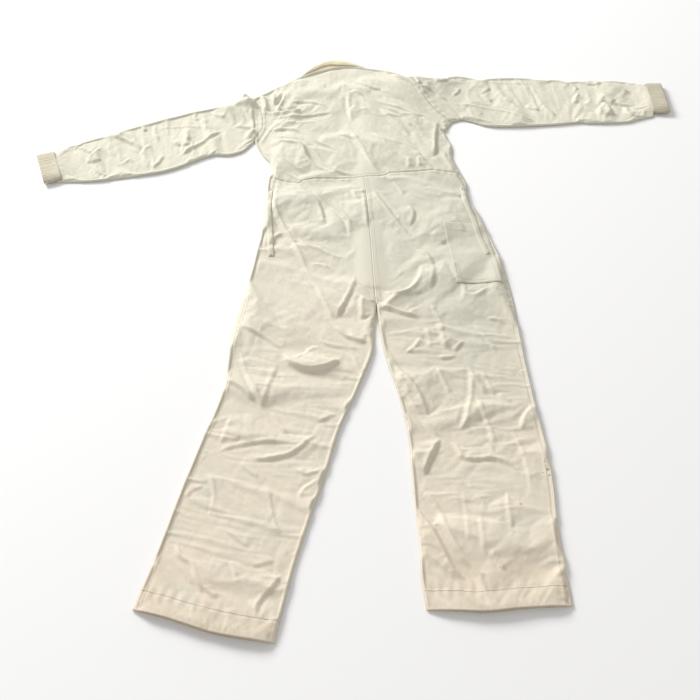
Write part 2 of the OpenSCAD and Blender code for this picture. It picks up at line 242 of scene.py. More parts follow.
waist_left = spaced(LEFT_WAIST, half_columns)
waist_right = spaced(RIGHT_WAIST, half_columns)
armhole_left = spaced(LEFT_ARMHOLE, left_armhole_rows)
armhole_right = spaced(RIGHT_ARMHOLE, right_armhole_rows)
seat_seam = spaced(SEAT_SEAM, seat_rows)
leg_rows = seat_rows + inseam_rows

PLAN = {
    "bodice": filled(spaced(SHOULDER_LINE, 2 * half_columns), joined(waist_left, waist_right),
                     joined(armhole_left, spaced(LEFT_SIDE, bodice_rows - left_armhole_rows)),
                     joined(armhole_right, spaced(RIGHT_SIDE, bodice_rows - right_armhole_rows))),
    "left_leg": filled(waist_left, spaced(LEFT_HEM, half_columns), spaced(LEFT_OUTSEAM, leg_rows),
                       joined(seat_seam, spaced(LEFT_INSEAM, inseam_rows))),
    "right_leg": filled(waist_right, spaced(RIGHT_HEM, half_columns),
                        joined(seat_seam, spaced(RIGHT_INSEAM, inseam_rows)),
                        spaced(RIGHT_OUTSEAM, leg_rows)),
    "left_sleeve": filled(armhole_left, spaced(LEFT_SLEEVE_END, left_armhole_rows),
                          spaced(LEFT_SLEEVE_TOP, left_sleeve_rows, smooth=False),
                          spaced(LEFT_SLEEVE_UNDER, left_sleeve_rows)),
    "right_sleeve": filled(armhole_right, spaced(RIGHT_SLEEVE_END, right_armhole_rows),
                           spaced(RIGHT_SLEEVE_TOP, right_sleeve_rows),
                           spaced(RIGHT_SLEEVE_UNDER, right_sleeve_rows)),
}
print("grid of each panel:", {name: plan.shape[:2] for name, plan in PLAN.items()})

# %% [markdown]
# ## Sewing the grids together
# Points that lie on a shared seam must be one point, or the panels would slide apart in the solver.
# Rounding each place to a tenth of a millimetre finds the pairs.

# %% Sew the grids into one cloth
cloth_plan = []
cloth_faces = []
cloth_index = {}
GRID = {}
for name, plan in PLAN.items():
    numbers = np.zeros(plan.shape[:2], int)
    for place in np.ndindex(plan.shape[:2]):
        key = tuple(int(round(c * 10)) for c in plan[place])
        if key not in cloth_index:
            cloth_index[key] = len(cloth_plan)
            cloth_plan.append(plan[place])
        numbers[place] = cloth_index[key]
    GRID[name] = numbers
    turned = name.endswith("sleeve") and name.startswith("right")
    corners = [numbers[:-1, :-1], numbers[1:, :-1], numbers[1:, 1:], numbers[:-1, 1:]]
    quads = np.stack(corners, -1).reshape(-1, 4)
    if turned:
        quads = quads[:, ::-1]
    cloth_faces.extend(quads.tolist())
cloth_plan = np.array(cloth_plan)
print("points in the whole back:", len(cloth_plan))

# %% [markdown]
# ## How high the back lies
# Two layers with air between them: the back panel rises from the side seams in a short, round shoulder and
# is nearly level inside. The distance to the closed edges gives that shoulder. The hems and the sleeve ends
# stay open, so they aren't counted as closed edges.


# %% Base height
def distance_to(points, line):
    """For each point, its distance to a line, the share along the line, and the side (left is positive)."""
    best = np.full(len(points), 1e9)
    share = np.zeros(len(points))
    side = np.zeros(len(points))
    line = np.array(line, float)
    steps = np.diff(line, axis=0)
    lengths = np.linalg.norm(steps, axis=1)
    before = np.concatenate([[0], np.cumsum(lengths)])
    for start, step, length, run in zip(line[:-1], steps, lengths, before):
        to = points - start
        t = np.clip(to @ step / length**2, 0, 1)
        off = to - t[:, None] * step
        d = np.linalg.norm(off, axis=1)
        closer = d < best
        best[closer] = d[closer]
        share[closer] = (run + t[closer] * length) / before[-1]
        side[closer] = np.sign(step[0] * to[closer, 1] - step[1] * to[closer, 0])
    return best, share, side


closed_edges = [SHOULDER_LINE, LEFT_SIDE, RIGHT_SIDE, LEFT_OUTSEAM, RIGHT_OUTSEAM, LEFT_INSEAM, RIGHT_INSEAM,
                LEFT_SLEEVE_TOP, LEFT_SLEEVE_UNDER, RIGHT_SLEEVE_TOP, RIGHT_SLEEVE_UNDER]
edge_distance = np.full(len(cloth_plan), 1e9)
for edge in closed_edges:
    edge_distance = np.minimum(edge_distance, distance_to(cloth_plan, spaced(edge, 60))[0])
seam_height = 3.0
loft = 10.5
shoulder_width = 17.0
cloth_height = seam_height + loft * (1 - np.exp(-((edge_distance / shoulder_width) ** 1.3)))
print("flat height, mm: from", cloth_height.min().round(1), "to", cloth_height.max().round(1))

# %% [markdown]
# ## Folds placed one by one
# Worn cloth keeps the folds it was left in, and they are what makes one suit differ from the next. Each
# fold here is a line along its sharp foot, with a lip of cloth beside it: how high the lip is, how wide,
# and on which side of the line it lies (+1 is left, going along the line). The solver will round and link
# them afterwards.

# %% Fold lines: (lip height, lip width, side, points), all in mm
BODICE_FOLDS = [
    (5, 9, 1, [(-247, 549), (-192, 546), (-150, 549), (-99, 560), (-60, 572)]),
    (4, 8, -1, [(-238, 518), (-201, 532), (-150, 534), (-105, 538)]),
    (7, 12, 1, [(-252, 497), (-192, 502), (-155, 490), (-122, 457), (-90, 438), (-50, 412)]),
    (12, 20, -1, [(-235, 478), (-190, 460), (-147, 445), (-130, 400), (-110, 375), (-84, 357), (-47, 337)]),
    (6, 10, 1, [(-160, 452), (-132, 430), (-112, 400), (-92, 370), (-60, 345), (-10, 334)]),
    (5, 10, 1, [(-230, 425), (-205, 395), (-170, 365), (-140, 335)]),
    (4, 8, 1, [(-130, 705), (-112, 680), (-92, 662)]),
    (5, 9, 1, [(-28, 702), (0, 682), (30, 662), (62, 652)]),
    (6, 10, 1, [(-44, 690), (-20, 655), (10, 632), (50, 606), (92, 585), (140, 556)]),
    (5, 8, -1, [(-45, 640), (-15, 655), (15, 625), (40, 600)]),
    (9, 13, 1, [(45, 592), (62, 560), (82, 530), (108, 498), (118, 482)]),
    (5, 9, 1, [(35, 622), (60, 592), (102, 560), (118, 528), (138, 512), (166, 470)]),
    (3, 7, 1, [(15, 562), (60, 556), (110, 555), (185, 553)]),
    (11, 14, 1, [(70, 728), (100, 700), (130, 680), (155, 655), (172, 622)]),
    (7, 9, 1, [(124, 722), (145, 695), (152, 668)]),
    (8, 12, 1, [(150, 672), (190, 655), (210, 632), (235, 616)]),
    (11, 15, 1, [(-30, 502), (-18, 460), (-3, 430), (7, 398), (22, 368), (52, 336)]),
    (7, 9, -1, [(32, 505), (48, 474), (75, 457), (112, 449), (132, 430), (150, 400), (163, 366)]),
    (5, 10, 1, [(110, 398), (112, 362)]),
    (5, 10, 1, [(136, 398), (137, 362)]),
    (9, 12, -1, [(205, 548), (197, 515), (190, 470), (187, 430), (178, 392)]),
    (7, 10, 1, [(-202, 655), (-210, 612), (-219, 588), (-216, 555)]),
    (8, 10, 1, [(-238, 650), (-232, 620), (-236, 596)]),
    (5, 9, 1, [(-190, 600), (-140, 604), (-85, 590)]),
    (5, 10, -1, [(-20, 600), (0, 585), (18, 592)]),
    (6, 12, 1, [(-38, 640), (-36, 600), (-30, 560), (-26, 532)]),
    (4, 8, 1, [(-60, 480), (-30, 470), (-8, 455)]),
]
SEAT_FOLDS = [
    (9, 13, 1, [(-196, 352), (-150, 316), (-122, 285), (-95, 252), (-60, 214), (-38, 180),
                (-33, 148), (-34, 112)]),
    (12, 17, 1, [(-204, 345), (-206, 300), (-212, 255), (-206, 205), (-168, 125), (-140, 62), (-113, 4)]),
    (5, 13, 1, [(-113, 4), (-94, -45), (-64, -122)]),
    (6, 9, -1, [(-104, 248), (-93, 215), (-84, 165)]),
    (5, 9, 1, [(-152, 277), (-125, 247), (-104, 224)]),
    (6, 10, -1, [(-152, 142), (-127, 112), (-95, 98), (-60, 76), (-34, 72)]),
    (4, 9, -1, [(-120, 52), (-85, 50), (-70, 35)]),
    (6, 9, -1, [(2, 325), (8, 250), (13, 190), (20, 128)]),
    (7, 11, -1, [(22, 298), (46, 248), (72, 200), (96, 160), (118, 122)]),
    (5, 9, 1, [(50, 330), (70, 314), (86, 290), (98, 262)]),
    (5, 9, -1, [(110, 245), (122, 216), (120, 190), (110, 160)]),
    (5, 9, 1, [(-26, 285), (-18, 258), (0, 250)]),
    (12, 17, 1, [(128, 52), (122, 12), (104, -18), (78, -31), (40, -28)]),
    (10, 12, 1, [(34, -70), (60, -82), (92, -96), (124, -103)]),
    (9, 14, -1, [(-14, 22), (-17, -14), (-34, -58), (-60, -112)]),
    (8, 11, 1, [(-5, -40), (-8, -75), (-10, -115)]),
    (8, 12, 1, [(-66, -122), (-46, -150), (-14, -166), (14, -172)]),
    (5, 8, 1, [(-96, -150), (-86, -172), (-50, -183), (6, -188)]),
    (8, 11, -1, [(108, 104), (146, 82), (160, 44), (159, 10), (146, -42)]),
    (7, 10, 1, [(183, 62), (196, 34), (203, 6), (216, -20), (215, -55)]),
    (5, 9, -1, [(212, 196), (228, 172), (238, 142)]),
    (6, 10, 1, [(142, -62), (152, -92), (161, -118), (166, -148)]),
    (5, 9, 1, [(-210, 96), (-198, 128), (-178, 146)]),
    (4, 8, 1, [(228, -115), (247, -146), (262, -176), (272, -204)]),
    (6, 9, 1, [(152, 142), (170, 124), (182, 106)]),
    (4, 9, -1, [(212, -30), (240, -40), (275, -20)]),
]
LEFT_LEG_FOLDS = [
    (6, 12, 1, [(-270, -128), (-240, -141), (-205, -162), (-170, -192)]),
    (14, 24, 1, [(-170, -190), (-160, -220), (-136, -236), (-108, -242), (-78, -236), (-52, -218),
                 (-42, -196)]),
    (8, 12, 1, [(-262, -180), (-250, -232), (-235, -266), (-216, -308), (-204, -342)]),
    (7, 11, -1, [(-173, -215), (-185, -262), (-194, -300), (-204, -342)]),
    (7, 11, 1, [(-286, -268), (-262, -279), (-240, -296), (-226, -318)]),
    (6, 10, 1, [(-192, -335), (-172, -370), (-153, -398)]),
    (5, 10, 1, [(-264, -345), (-275, -385), (-284, -418)]),
    (5, 9, 1, [(-288, -436), (-262, -424), (-235, -416), (-198, -411), (-158, -410)]),
    (8, 16, 1, [(-225, -452), (-175, -446), (-135, -432), (-104, -403), (-86, -380)]),
    (4, 8, 1, [(-98, -366), (-76, -356), (-54, -344)]),
    (4, 8, 1, [(-246, -450), (-226, -470), (-202, -490)]),
    (5, 8, 1, [(-136, -468), (-114, -480), (-80, -474)]),
    (5, 9, -1, [(-130, -530), (-118, -505), (-84, -482)]),
    (4, 8, 1, [(-262, -588), (-236, -608), (-208, -630)]),
    (6, 9, 1, [(-346, -606), (-334, -642), (-312, -658), (-298, -690), (-286, -716)]),
    (4, 8, 1, [(-286, -698), (-262, -722)]),
    (4, 8, 1, [(-246, -648), (-230, -684)]),
    (8, 12, -1, [(-140, -664), (-162, -698), (-184, -726), (-190, -760)]),
    (4, 8, 1, [(-205, -662), (-160, -650)]),
    (4, 9, 1, [(-334, -532), (-318, -512), (-298, -505)]),
    (5, 9, 1, [(-30, -200), (-18, -230), (-4, -252)]),
    (5, 12, 1, [(-300, -470), (-285, -520), (-290, -570)]),
    (4, 12, -1, [(-180, -500), (-168, -560), (-150, -610)]),
]
RIGHT_LEG_FOLDS = [
    (10, 14, -1, [(58, -196), (76, -236), (100, -270), (116, -302), (126, -334), (131, -362)]),
    (7, 10, 1, [(48, -222), (75, -270), (92, -322), (112, -356), (140, -394), (168, -398)]),
    (10, 14, 1, [(212, -215), (214, -250), (210, -292), (201, -332), (194, -362), (176, -394)]),
    (5, 8, 1, [(148, -225), (152, -252), (172, -304)]),
    (9, 13, 1, [(220, -298), (228, -340), (240, -382), (246, -424)]),
    (5, 8, 1, [(214, -246), (228, -276), (242, -304)]),
    (5, 8, 1, [(234, -238), (250, -280), (258, -304)]),
    (4, 8, 1, [(262, -298), (288, -322)]),
    (6, 11, 1, [(346, -320), (324, -332), (308, -356), (300, -390)]),
    (6, 10, 1, [(280, -378), (291, -406), (299, -434), (303, -466), (306, -512)]),
    (8, 10, 1, [(160, -398), (174, -420), (184, -445), (212, -450), (242, -446), (270, -456), (288, -478)]),
    (9, 14, -1, [(152, -398), (136, -426), (121, -458), (113, -488)]),
    (6, 9, 1, [(204, -372), (226, -402), (252, -442)]),
    (13, 20, 1, [(92, -488), (112, -522), (132, -552), (138, -580), (150, -612), (166, -644), (188, -672),
                 (202, -700), (210, -738)]),
    (7, 10, -1, [(98, -552), (120, -580), (140, -622), (156, -660), (184, -688)]),
    (5, 9, 1, [(206, -555), (205, -600), (206, -642)]),
    (5, 9, 1, [(262, -505), (258, -550), (260, -600)]),
    (4, 9, 1, [(180, -500), (181, -560), (179, -632)]),
    (4, 8, 1, [(186, -494), (204, -520), (222, -548)]),
    (5, 8, 1, [(214, -634), (242, -672)]),
    (7, 10, -1, [(352, -636), (350, -668), (330, -684)]),
    (8, 11, 1, [(120, -150), (104, -176), (84, -196)]),
    (7, 9, 1, [(131, -124), (134, -158), (135, -184)]),
    (8, 10, 1, [(152, -112), (161, -150), (167, -192)]),
    (6, 9, -1, [(212, -168), (198, -182), (190, -196)]),
    (5, 9, 1, [(150, -205), (165, -212), (195, -204)]),
    (4, 9, 1, [(300, -110), (280, -102), (262, -104)]),
]
LEFT_SLEEVE_FOLDS = [
    (9, 12, 1, [(-645, 486), (-620, 473), (-590, 456), (-565, 440), (-550, 420)]),
    (6, 9, -1, [(-556, 408), (-548, 436), (-528, 452)]),
    (6, 9, 1, [(-481, 466), (-471, 450), (-454, 444), (-428, 442)]),
    (10, 14, -1, [(-345, 508), (-368, 488), (-398, 456), (-430, 426), (-460, 400)]),
    (4, 8, 1, [(-528, 500), (-490, 511), (-440, 512), (-395, 510)]),
    (5, 8, 1, [(-566, 518), (-556, 498)]),
    (5, 8, 1, [(-536, 524), (-530, 488), (-516, 460)]),
    (8, 11, 1, [(-658, 444), (-671, 416), (-688, 392)]),
    (5, 9, 1, [(-688, 384), (-664, 382), (-640, 392)]),
    (5, 8, 1, [(-716, 440), (-692, 424), (-672, 412)]),
    (5, 9, -1, [(-600, 378), (-586, 392), (-575, 404)]),
    (5, 9, -1, [(-492, 413), (-500, 386), (-517, 358)]),
    (6, 9, 1, [(-396, 572), (-376, 558), (-352, 545)]),
    (4, 8, 1, [(-442, 556), (-424, 538)]),
    (6, 10, 1, [(-330, 520), (-300, 512), (-268, 510)]),
    (5, 9, -1, [(-660, 372), (-640, 350), (-620, 340)]),
    (7, 12, 1, [(-420, 540), (-405, 520), (-400, 500)]),
    (6, 10, -1, [(-446, 500), (-438, 480), (-430, 462)]),
    (5, 9, 1, [(-310, 590), (-298, 560), (-286, 535), (-282, 510)]),
]
RIGHT_SLEEVE_FOLDS = [
    (9, 13, -1, [(228, 619), (260, 612), (300, 602), (340, 591), (370, 580), (400, 566),
                 (430, 554), (480, 536)]),
    (6, 10, 1, [(314, 646), (328, 628), (342, 610)]),
    (4, 10, -1, [(352, 672), (326, 650), (314, 646)]),
    (5, 9, 1, [(372, 622), (384, 612), (398, 606)]),
    (6, 9, 1, [(428, 596), (455, 584), (472, 586)]),
    (5, 8, -1, [(470, 585), (480, 602), (490, 590), (500, 576), (516, 566)]),
    (4, 9, 1, [(320, 692), (390, 690), (470, 688)]),
    (6, 9, 1, [(552, 694), (568, 680), (574, 664)]),
    (8, 11, 1, [(578, 656), (564, 636), (557, 610)]),
    (6, 9, 1, [(600, 690), (625, 684), (650, 688)]),
    (7, 10, -1, [(650, 692), (685, 678), (722, 658)]),
    (9, 12, 1, [(578, 610), (600, 600), (616, 580), (618, 556)]),
    (9, 12, -1, [(632, 616), (650, 598), (656, 560)]),
    (6, 9, 1, [(640, 616), (680, 604), (722, 594)]),
    (6, 9, -1, [(698, 571), (716, 562), (735, 556)]),
    (7, 10, 1, [(232, 700), (248, 716), (262, 712), (282, 700)]),
    (5, 10, 1, [(196, 690), (216, 692), (240, 702)]),
    (6, 12, 1, [(688, 600), (690, 575), (700, 556)]),
    (5, 9, -1, [(640, 650), (660, 632), (676, 622)]),
    (5, 10, 1, [(245, 640), (262, 655), (270, 676)]),
]
ALL_FOLDS = (BODICE_FOLDS + SEAT_FOLDS + LEFT_LEG_FOLDS + RIGHT_LEG_FOLDS
             + LEFT_SLEEVE_FOLDS + RIGHT_SLEEVE_FOLDS)
print("folds placed by hand:", len(ALL_FOLDS))

# %% [markdown]
# ## Raising the folds
# A fold seen end-on is a step: a sharp foot, an edge that stands up beside it, and a long, nearly flat fall
# behind the edge. The long fall is what turns a whole area towards or away from the light. Its height fades
# at both ends of the line. Near a side seam there is no room for a lip, so the height is held back there.


# %% Raise the folds
fold_gain = 0.62


def fold_sum(points, profile):
    """The folds' height at flat points in mm. profile(e, lip, width) is one fold seen end-on."""
    total = np.zeros(len(points))
    for lip, width, lip_side, places in ALL_FOLDS:
        line = spaced(places, 14)
        reach = 5.5 * width
        near = np.flatnonzero(np.all((points > line.min(0) - reach) & (points < line.max(0) + reach), axis=1))
        away, share, side = distance_to(points[near], line)
        fade = np.clip(np.minimum(share, 1 - share) / 0.25, 0, 1)
        fade = fade * fade * (3 - 2 * fade)
        narrow = 0.45 + 0.55 * fade
        edge_on = profile(away * side * lip_side / narrow, fold_gain * lip, width)
        total[near] += fade * edge_on * np.clip((reach - away) / width, 0, 1)
    return total


def step_profile(e, lip, width):
    """The broad part of a fold: up at its foot, and a long fall behind."""
    rise = np.clip(e / (5.0 + 1.5 * lip) + 0.5, 0, 1)
    rise = rise * rise * (3 - 2 * rise)
    fall = np.exp(-np.maximum(e, 0) / (2.6 * width))
    return lip * rise * fall - 0.22 * lip * (1 - rise) * np.exp(e / width)


room = np.clip(edge_distance / 16.0, 0.10, 1)
cloth_height = cloth_height + room * fold_sum(cloth_plan, step_profile)
cloth_height = np.maximum(cloth_height, seam_height)
print("height with folds, mm: up to", cloth_height.max().round(1))

# %% [markdown]
# ## Small creases
# Between the folds the cloth is never quite flat. Two layers of stretched noise stand for what wear leaves:
# one is a slow swell, and the other is folded over at zero, which leaves sharp lines between flat facets.
# Noise from mathutils is the same on each run.


# %% Small creases
def slow_swell(x, y):
    """Soft hills about 70 mm apart, in mm."""
    return 2.2 * noise.noise(Vector((x / 62, y / 88, 3.7)))


def sharp_creases(x, y):
    """Flat facets between sharp lines, in mm."""
    bend = 26 * noise.noise(Vector((x / 90, y / 90, 2.2)))
    along = 0.5 * x + 0.87 * y
    across = 0.87 * x - 0.5 * y + bend
    strength = 0.5 + 0.9 * noise.noise(Vector((x / 120, y / 120, 7.7)))
    long_line = abs(noise.noise(Vector((across / 34, along / 70, 5.2))))
    cross_line = abs(noise.noise(Vector((along / 30, across / 58, 8.4))))
    short_line = abs(noise.noise(Vector((x / 15, y / 21, 1.3))))
    return max(0.15, strength) * (3.2 * long_line + 2.4 * cross_line) + 0.8 * short_line


cloth_height = cloth_height + room * np.array([slow_swell(x, y) for x, y in cloth_plan])
cloth_height = np.maximum(cloth_height, seam_height - 0.5)

# %% [markdown]
# ## Letting the solver settle it
# Drawn folds look drawn: each stops where its line stops. In real cloth one fold pushes the next. So the
# cloth is given 2 % more area than it was drawn with, held at its seams, hems and sleeve ends, and left to
# find room for itself under a little gravity, on a floor just above the front panels. It buckles along the
# folds that are there. The solver starts the same way each time, so its result is the same each run.

# %% Settle the cloth
cloth_mesh = bpy.data.meshes.new("back_cloth")
rest = np.column_stack([cloth_plan, cloth_height]) * MM
cloth_mesh.from_pydata(rest.tolist(), [], cloth_faces)
cloth = bpy.data.objects.new("back_cloth", cloth_mesh)
scene.collection.objects.link(cloth)

held = cloth.vertex_groups.new(name="held")
hem_distance = np.full(len(cloth_plan), 1e9)
for edge in (LEFT_HEM, RIGHT_HEM, LEFT_SLEEVE_END, RIGHT_SLEEVE_END):
    hem_distance = np.minimum(hem_distance, distance_to(cloth_plan, spaced(edge, 30))[0])
held_weight = np.maximum(np.clip(1.25 - edge_distance / 5.0, 0, 1), np.clip(1.2 - hem_distance / 14.0, 0, 1))
for k in np.flatnonzero(held_weight > 0):
    held.add([int(k)], float(held_weight[k]), "REPLACE")

settle_frames = 24
extra_length = 0.012


def settled(thing, frames, extra):
    """Run Blender's Cloth on thing for some frames, and return its points in mm."""
    table_mesh = bpy.data.meshes.new("under")
    corners = [(x, y, 0.0026) for x, y in ((-1, -1), (1, -1), (1, 1), (-1, 1))]
    table_mesh.from_pydata(corners, [], [(0, 1, 2, 3)])
    table = bpy.data.objects.new("under", table_mesh)
    scene.collection.objects.link(table)
    table.modifiers.new("collision", "COLLISION")
    table.collision.thickness_outer = 0.001
    table.collision.cloth_friction = 20
    solver = thing.modifiers.new("cloth", "CLOTH")
    solver.settings.quality = 6
    solver.settings.mass = 0.12
    solver.settings.air_damping = 1.0
    solver.settings.tension_stiffness = 25
    solver.settings.compression_stiffness = 25
    solver.settings.shear_stiffness = 8
    solver.settings.bending_stiffness = 0.5
    solver.settings.vertex_group_mass = "held"
    solver.settings.shrink_min = -extra
    solver.settings.effector_weights.gravity = 0.02
    solver.collision_settings.distance_min = 0.001
    solver.collision_settings.use_self_collision = False
    solver.point_cache.frame_start = 1
    solver.point_cache.frame_end = frames
    scene.frame_start = 1
    scene.frame_end = frames
    for f in range(1, frames + 1):
        scene.frame_set(f)
    shown = thing.evaluated_get(bpy.context.evaluated_depsgraph_get())
    points = np.zeros(len(thing.data.vertices) * 3)
    shown.data.vertices.foreach_get("co", points)
    thing.modifiers.remove(solver)
    bpy.data.objects.remove(table)
    scene.frame_set(1)
    return points.reshape(-1, 3) / MM


back = settled(cloth, settle_frames, extra_length)
drift = np.linalg.norm(back - rest / MM, axis=1)
print("moved while settling, mm: mean", drift.mean().round(2), "most", drift.max().round(1))
print("height after settling, mm: up to", back[:, 2].max().round(1))
bpy.data.objects.remove(cloth)

# %% [markdown]
# ## A finer grid, and the sharp lines
# The solver's cells are 5 mm, too coarse for a pressed crease. Each panel is now split to 2.5 mm cells
# along a smooth curve, and the thin parts are added: the V at the foot of each fold, the facets, the felled
# seams with their puckers, the turned hems, and the point where the left shoulder seam has bunched up.
# Last, the cloth is held above the zip that lies inside it, or the teeth would come through. The solver
# lays the cloth flatter than it was drawn, so three tenths of each drawn fold is added back.


# %% Split the cells
def halved(grid):
    """The grid with a new point halfway between each pair along its first axis, on a smooth curve."""
    rows = len(grid)
    before = np.vstack([2 * grid[:1] - grid[1:2], grid[:-2]])
    after = np.vstack([grid[2:], 2 * grid[-1:] - grid[-2:-1]])
    middle = (9 * (grid[:-1] + grid[1:]) - before - after) / 16
    out = np.zeros((2 * rows - 1,) + grid.shape[1:])
    out[0::2] = grid
    out[1::2] = middle
    return out


def split_cells(grid):
    """The grid with cells of half the size."""
    return halved(halved(grid).swapaxes(0, 1)).swapaxes(0, 1)


def crisp_profile(e, lip, width):
    """The thin part of a fold: a narrow V at its foot and a pressed edge beside it."""
    return lip * (0.22 * np.exp(-(((e - 5.0) / 3.6) ** 2)) - 0.30 * np.exp(-np.abs(e + 1.5) / 3.0))


def smooth_step(value):
    value = np.clip(value, 0, 1)
    return value * value * (3 - 2 * value)


def seam_relief(points):
    """Flat-felled seams stand up beside a groove, and their thread puckers the cloth, in mm."""
    total = np.zeros(len(points))
    for places in (LEFT_WAIST, RIGHT_WAIST, SEAT_SEAM, LEFT_ARMHOLE, RIGHT_ARMHOLE):
        line = spaced(places, 60)
        length = np.linalg.norm(np.diff(line, axis=0), axis=1).sum()
        away, share, side = distance_to(points, line)
        pucker = np.sin(2 * math.pi * share * length / 17 + 3 * np.sin(share * length / 41))
        total += 0.8 * smooth_step((10 - away) / 3) - 1.1 * np.exp(-((away / 1.8) ** 2))
        total += 0.5 * pucker * np.exp(-((away / 12) ** 2))
    for places in (LEFT_HEM, RIGHT_HEM):
        line = spaced(places, 60)
        length = np.linalg.norm(np.diff(line, axis=0), axis=1).sum()
        away, share, side = distance_to(points, line)
        pucker = np.sin(2 * math.pi * share * length / 21 + 4 * np.sin(share * length / 60))
        total += 0.6 * smooth_step((39 - away) / 3) - 0.7 * np.exp(-(((away - 37) / 2.0) ** 2))
        total += 0.8 * pucker * np.exp(-(((away - 37) / 13) ** 2))
    away, share, side = distance_to(points, spaced(RIGHT_OUTSEAM, 80))
    total += 0.9 * np.exp(-(((away - 13) / 2.5) ** 2)) - 1.0 * np.exp(-(((away - 9) / 1.8) ** 2))
    return total


def shoulder_bunch(points):
    """The left shoulder seam, bunched up into a point with a hollow beside it, in mm."""
    off = points - np.array([-304.0, 630.0])
    away = np.linalg.norm(off, axis=1)
    turn = np.arctan2(off[:, 1], off[:, 0])
    reach = np.interp(turn, [-math.pi, -2.2, -1.2, -0.4, 0, 0.8, 1.6, 2.4, math.pi],
                      [85, 110, 90, 34, 16, 20, 30, 44, 85])
    total = 19 * np.clip(1 - away / reach, 0, 1) ** 1.1
    for height, width, places in ((9, 7, [(-262, 640), (-252, 612), (-247, 572)]),
                                  (6, 7, [(-281, 612), (-270, 596), (-262, 604)]),
                                  (-6, 10, [(-276, 636), (-270, 606), (-264, 580)]),
                                  (-4, 6, [(-250, 624), (-224, 606), (-200, 640)]),
                                  (4, 9, [(-238, 640), (-222, 622), (-206, 655)]),
                                  (6, 7, [(-246, 572), (-205, 566), (-150, 572)]),
                                  (-5, 5, [(-244, 583), (-205, 578), (-160, 582)]),
                                  (5, 8, [(-268, 505), (-283, 490), (-290, 470)]),
                                  (-3, 7, [(-276, 512), (-294, 500), (-302, 482)])):
        distance, share, side = distance_to(points, spaced(places, 16))
        fade = smooth_step(np.minimum(share, 1 - share) / 0.2)
        total += height * (0.25 + 0.75 * fade) * np.exp(-((distance / width) ** 2))
    return total


def lowest_back(points):
    """How low the back may lie: over the zip it rests on the slider, and elsewhere on the front, in mm."""
    beside = np.abs(points[:, 0] - 18)
    along = smooth_step((points[:, 1] + 32) / 20) * smooth_step((684 - points[:, 1]) / 20)
    return 3.2 + 5.0 * smooth_step(1 - (beside - 6) / 44) * along


facet_middle = 1.6
restored_share = 0.30
floor_softness = 0.15
PANEL = {}
for name, numbers in GRID.items():
    flat = split_cells(cloth_plan[numbers])
    panel = split_cells(back[numbers])
    points = flat.reshape(-1, 2)
    gap = np.clip(split_cells(room[numbers][..., None])[..., 0].ravel(), 0, 1)
    lift = fold_sum(points, crisp_profile) + np.array([sharp_creases(x, y) for x, y in points]) - facet_middle
    lift = lift + restored_share * fold_sum(points, step_profile)
    lift = lift + seam_relief(points) + shoulder_bunch(points)
    height = panel[..., 2].ravel() + gap * lift
    lowest = np.minimum(lowest_back(points), 3.0 + 40 * gap)
    height = lowest + (height - lowest) / 2 + np.sqrt((height - lowest) ** 2 / 4 + floor_softness)
    panel[..., 2] = height.reshape(panel.shape[:2])
    PANEL[name] = panel
print("cells now:", {name: (p.shape[0] - 1) * (p.shape[1] - 1) for name, p in PANEL.items()})
print("height of the back panels, mm: up to", max(p[..., 2].max() for p in PANEL.values()).round(1))

# %% [markdown]
# ## Reading a place on the cloth
# Trims are sewn where the cloth really went, not where it was drawn. A panel is a grid, so a place on it is
# a row and a column, and any place between them is a blend of four points.


# %% Places on a panel
def place_on(panel, row, column):
    """The point in mm at a row and column of a panel grid, both counted in cells."""
    rows, columns = panel.shape[0] - 1, panel.shape[1] - 1
    r = min(max(row, 0), rows - 1e-6)
    c = min(max(column, 0), columns - 1e-6)
    i, j = int(r), int(c)
    a, b = r - i, c - j
    return ((1 - a) * (1 - b) * panel[i, j] + (1 - a) * b * panel[i, j + 1]
            + a * (1 - b) * panel[i + 1, j] + a * b * panel[i + 1, j + 1])


back_points = np.vstack([p.reshape(-1, 3) for p in PANEL.values()])
back_faces = []
first = 0
for p in PANEL.values():
    index = first + np.arange(p.shape[0] * p.shape[1]).reshape(p.shape[:2])
    corners = [index[:-1, :-1], index[1:, :-1], index[1:, 1:], index[:-1, 1:]]
    back_faces.append(np.stack(corners, -1).reshape(-1, 4))
    first += index.size
back_tree = BVHTree.FromPolygons(back_points.tolist(), np.vstack(back_faces).tolist())


def height_at(x, y, missing=5.0):
    """How high the back lies at x, y in mm."""
    hit = back_tree.ray_cast(Vector((x, y, 200.0)), Vector((0, 0, -1)))[0]
    return hit.z if hit else missing


def on_back(points, lift):
    """Flat points set on the back of the suit, a little proud of it, in mm."""
    return np.array([(x, y, height_at(x, y) + lift) for x, y in points])


print("highest cloth, mm:", back_points[:, 2].max().round(1))

# %% [markdown]
# ## Making the pieces
# Every sheet is made the same way: a grid becomes a mesh, and a Solidify modifier gives it the cloth's
# thickness on its inner side. Each piece gets two UV maps. "cloth" is its flat size in metres, so a weave
# keeps its scale. "place" is where the point lies in the suit at rest, so a stain stays put when a sleeve
# swings.

# %% Grid to mesh
cloth_thickness = 0.9 * MM


def add_maps(mesh, flat_uv=None):
    """UV maps for a mesh in metres: cloth for the weave and place for the colour."""
    corner_count = len(mesh.loops)
    corner_vertex = np.zeros(corner_count, int)
    mesh.loops.foreach_get("vertex_index", corner_vertex)
    points = np.zeros(len(mesh.vertices) * 3)
    mesh.vertices.foreach_get("co", points)
    points = points.reshape(-1, 3)
    cloth_uv = points[:, :2] + points[:, 2:] * 0.7 if flat_uv is None else flat_uv
    for map_name, values in (("cloth", cloth_uv), ("place", points[:, :2])):
        layer = mesh.uv_layers.new(name=map_name)
        layer.data.foreach_set("uv", values[corner_vertex].astype(np.float32).ravel())


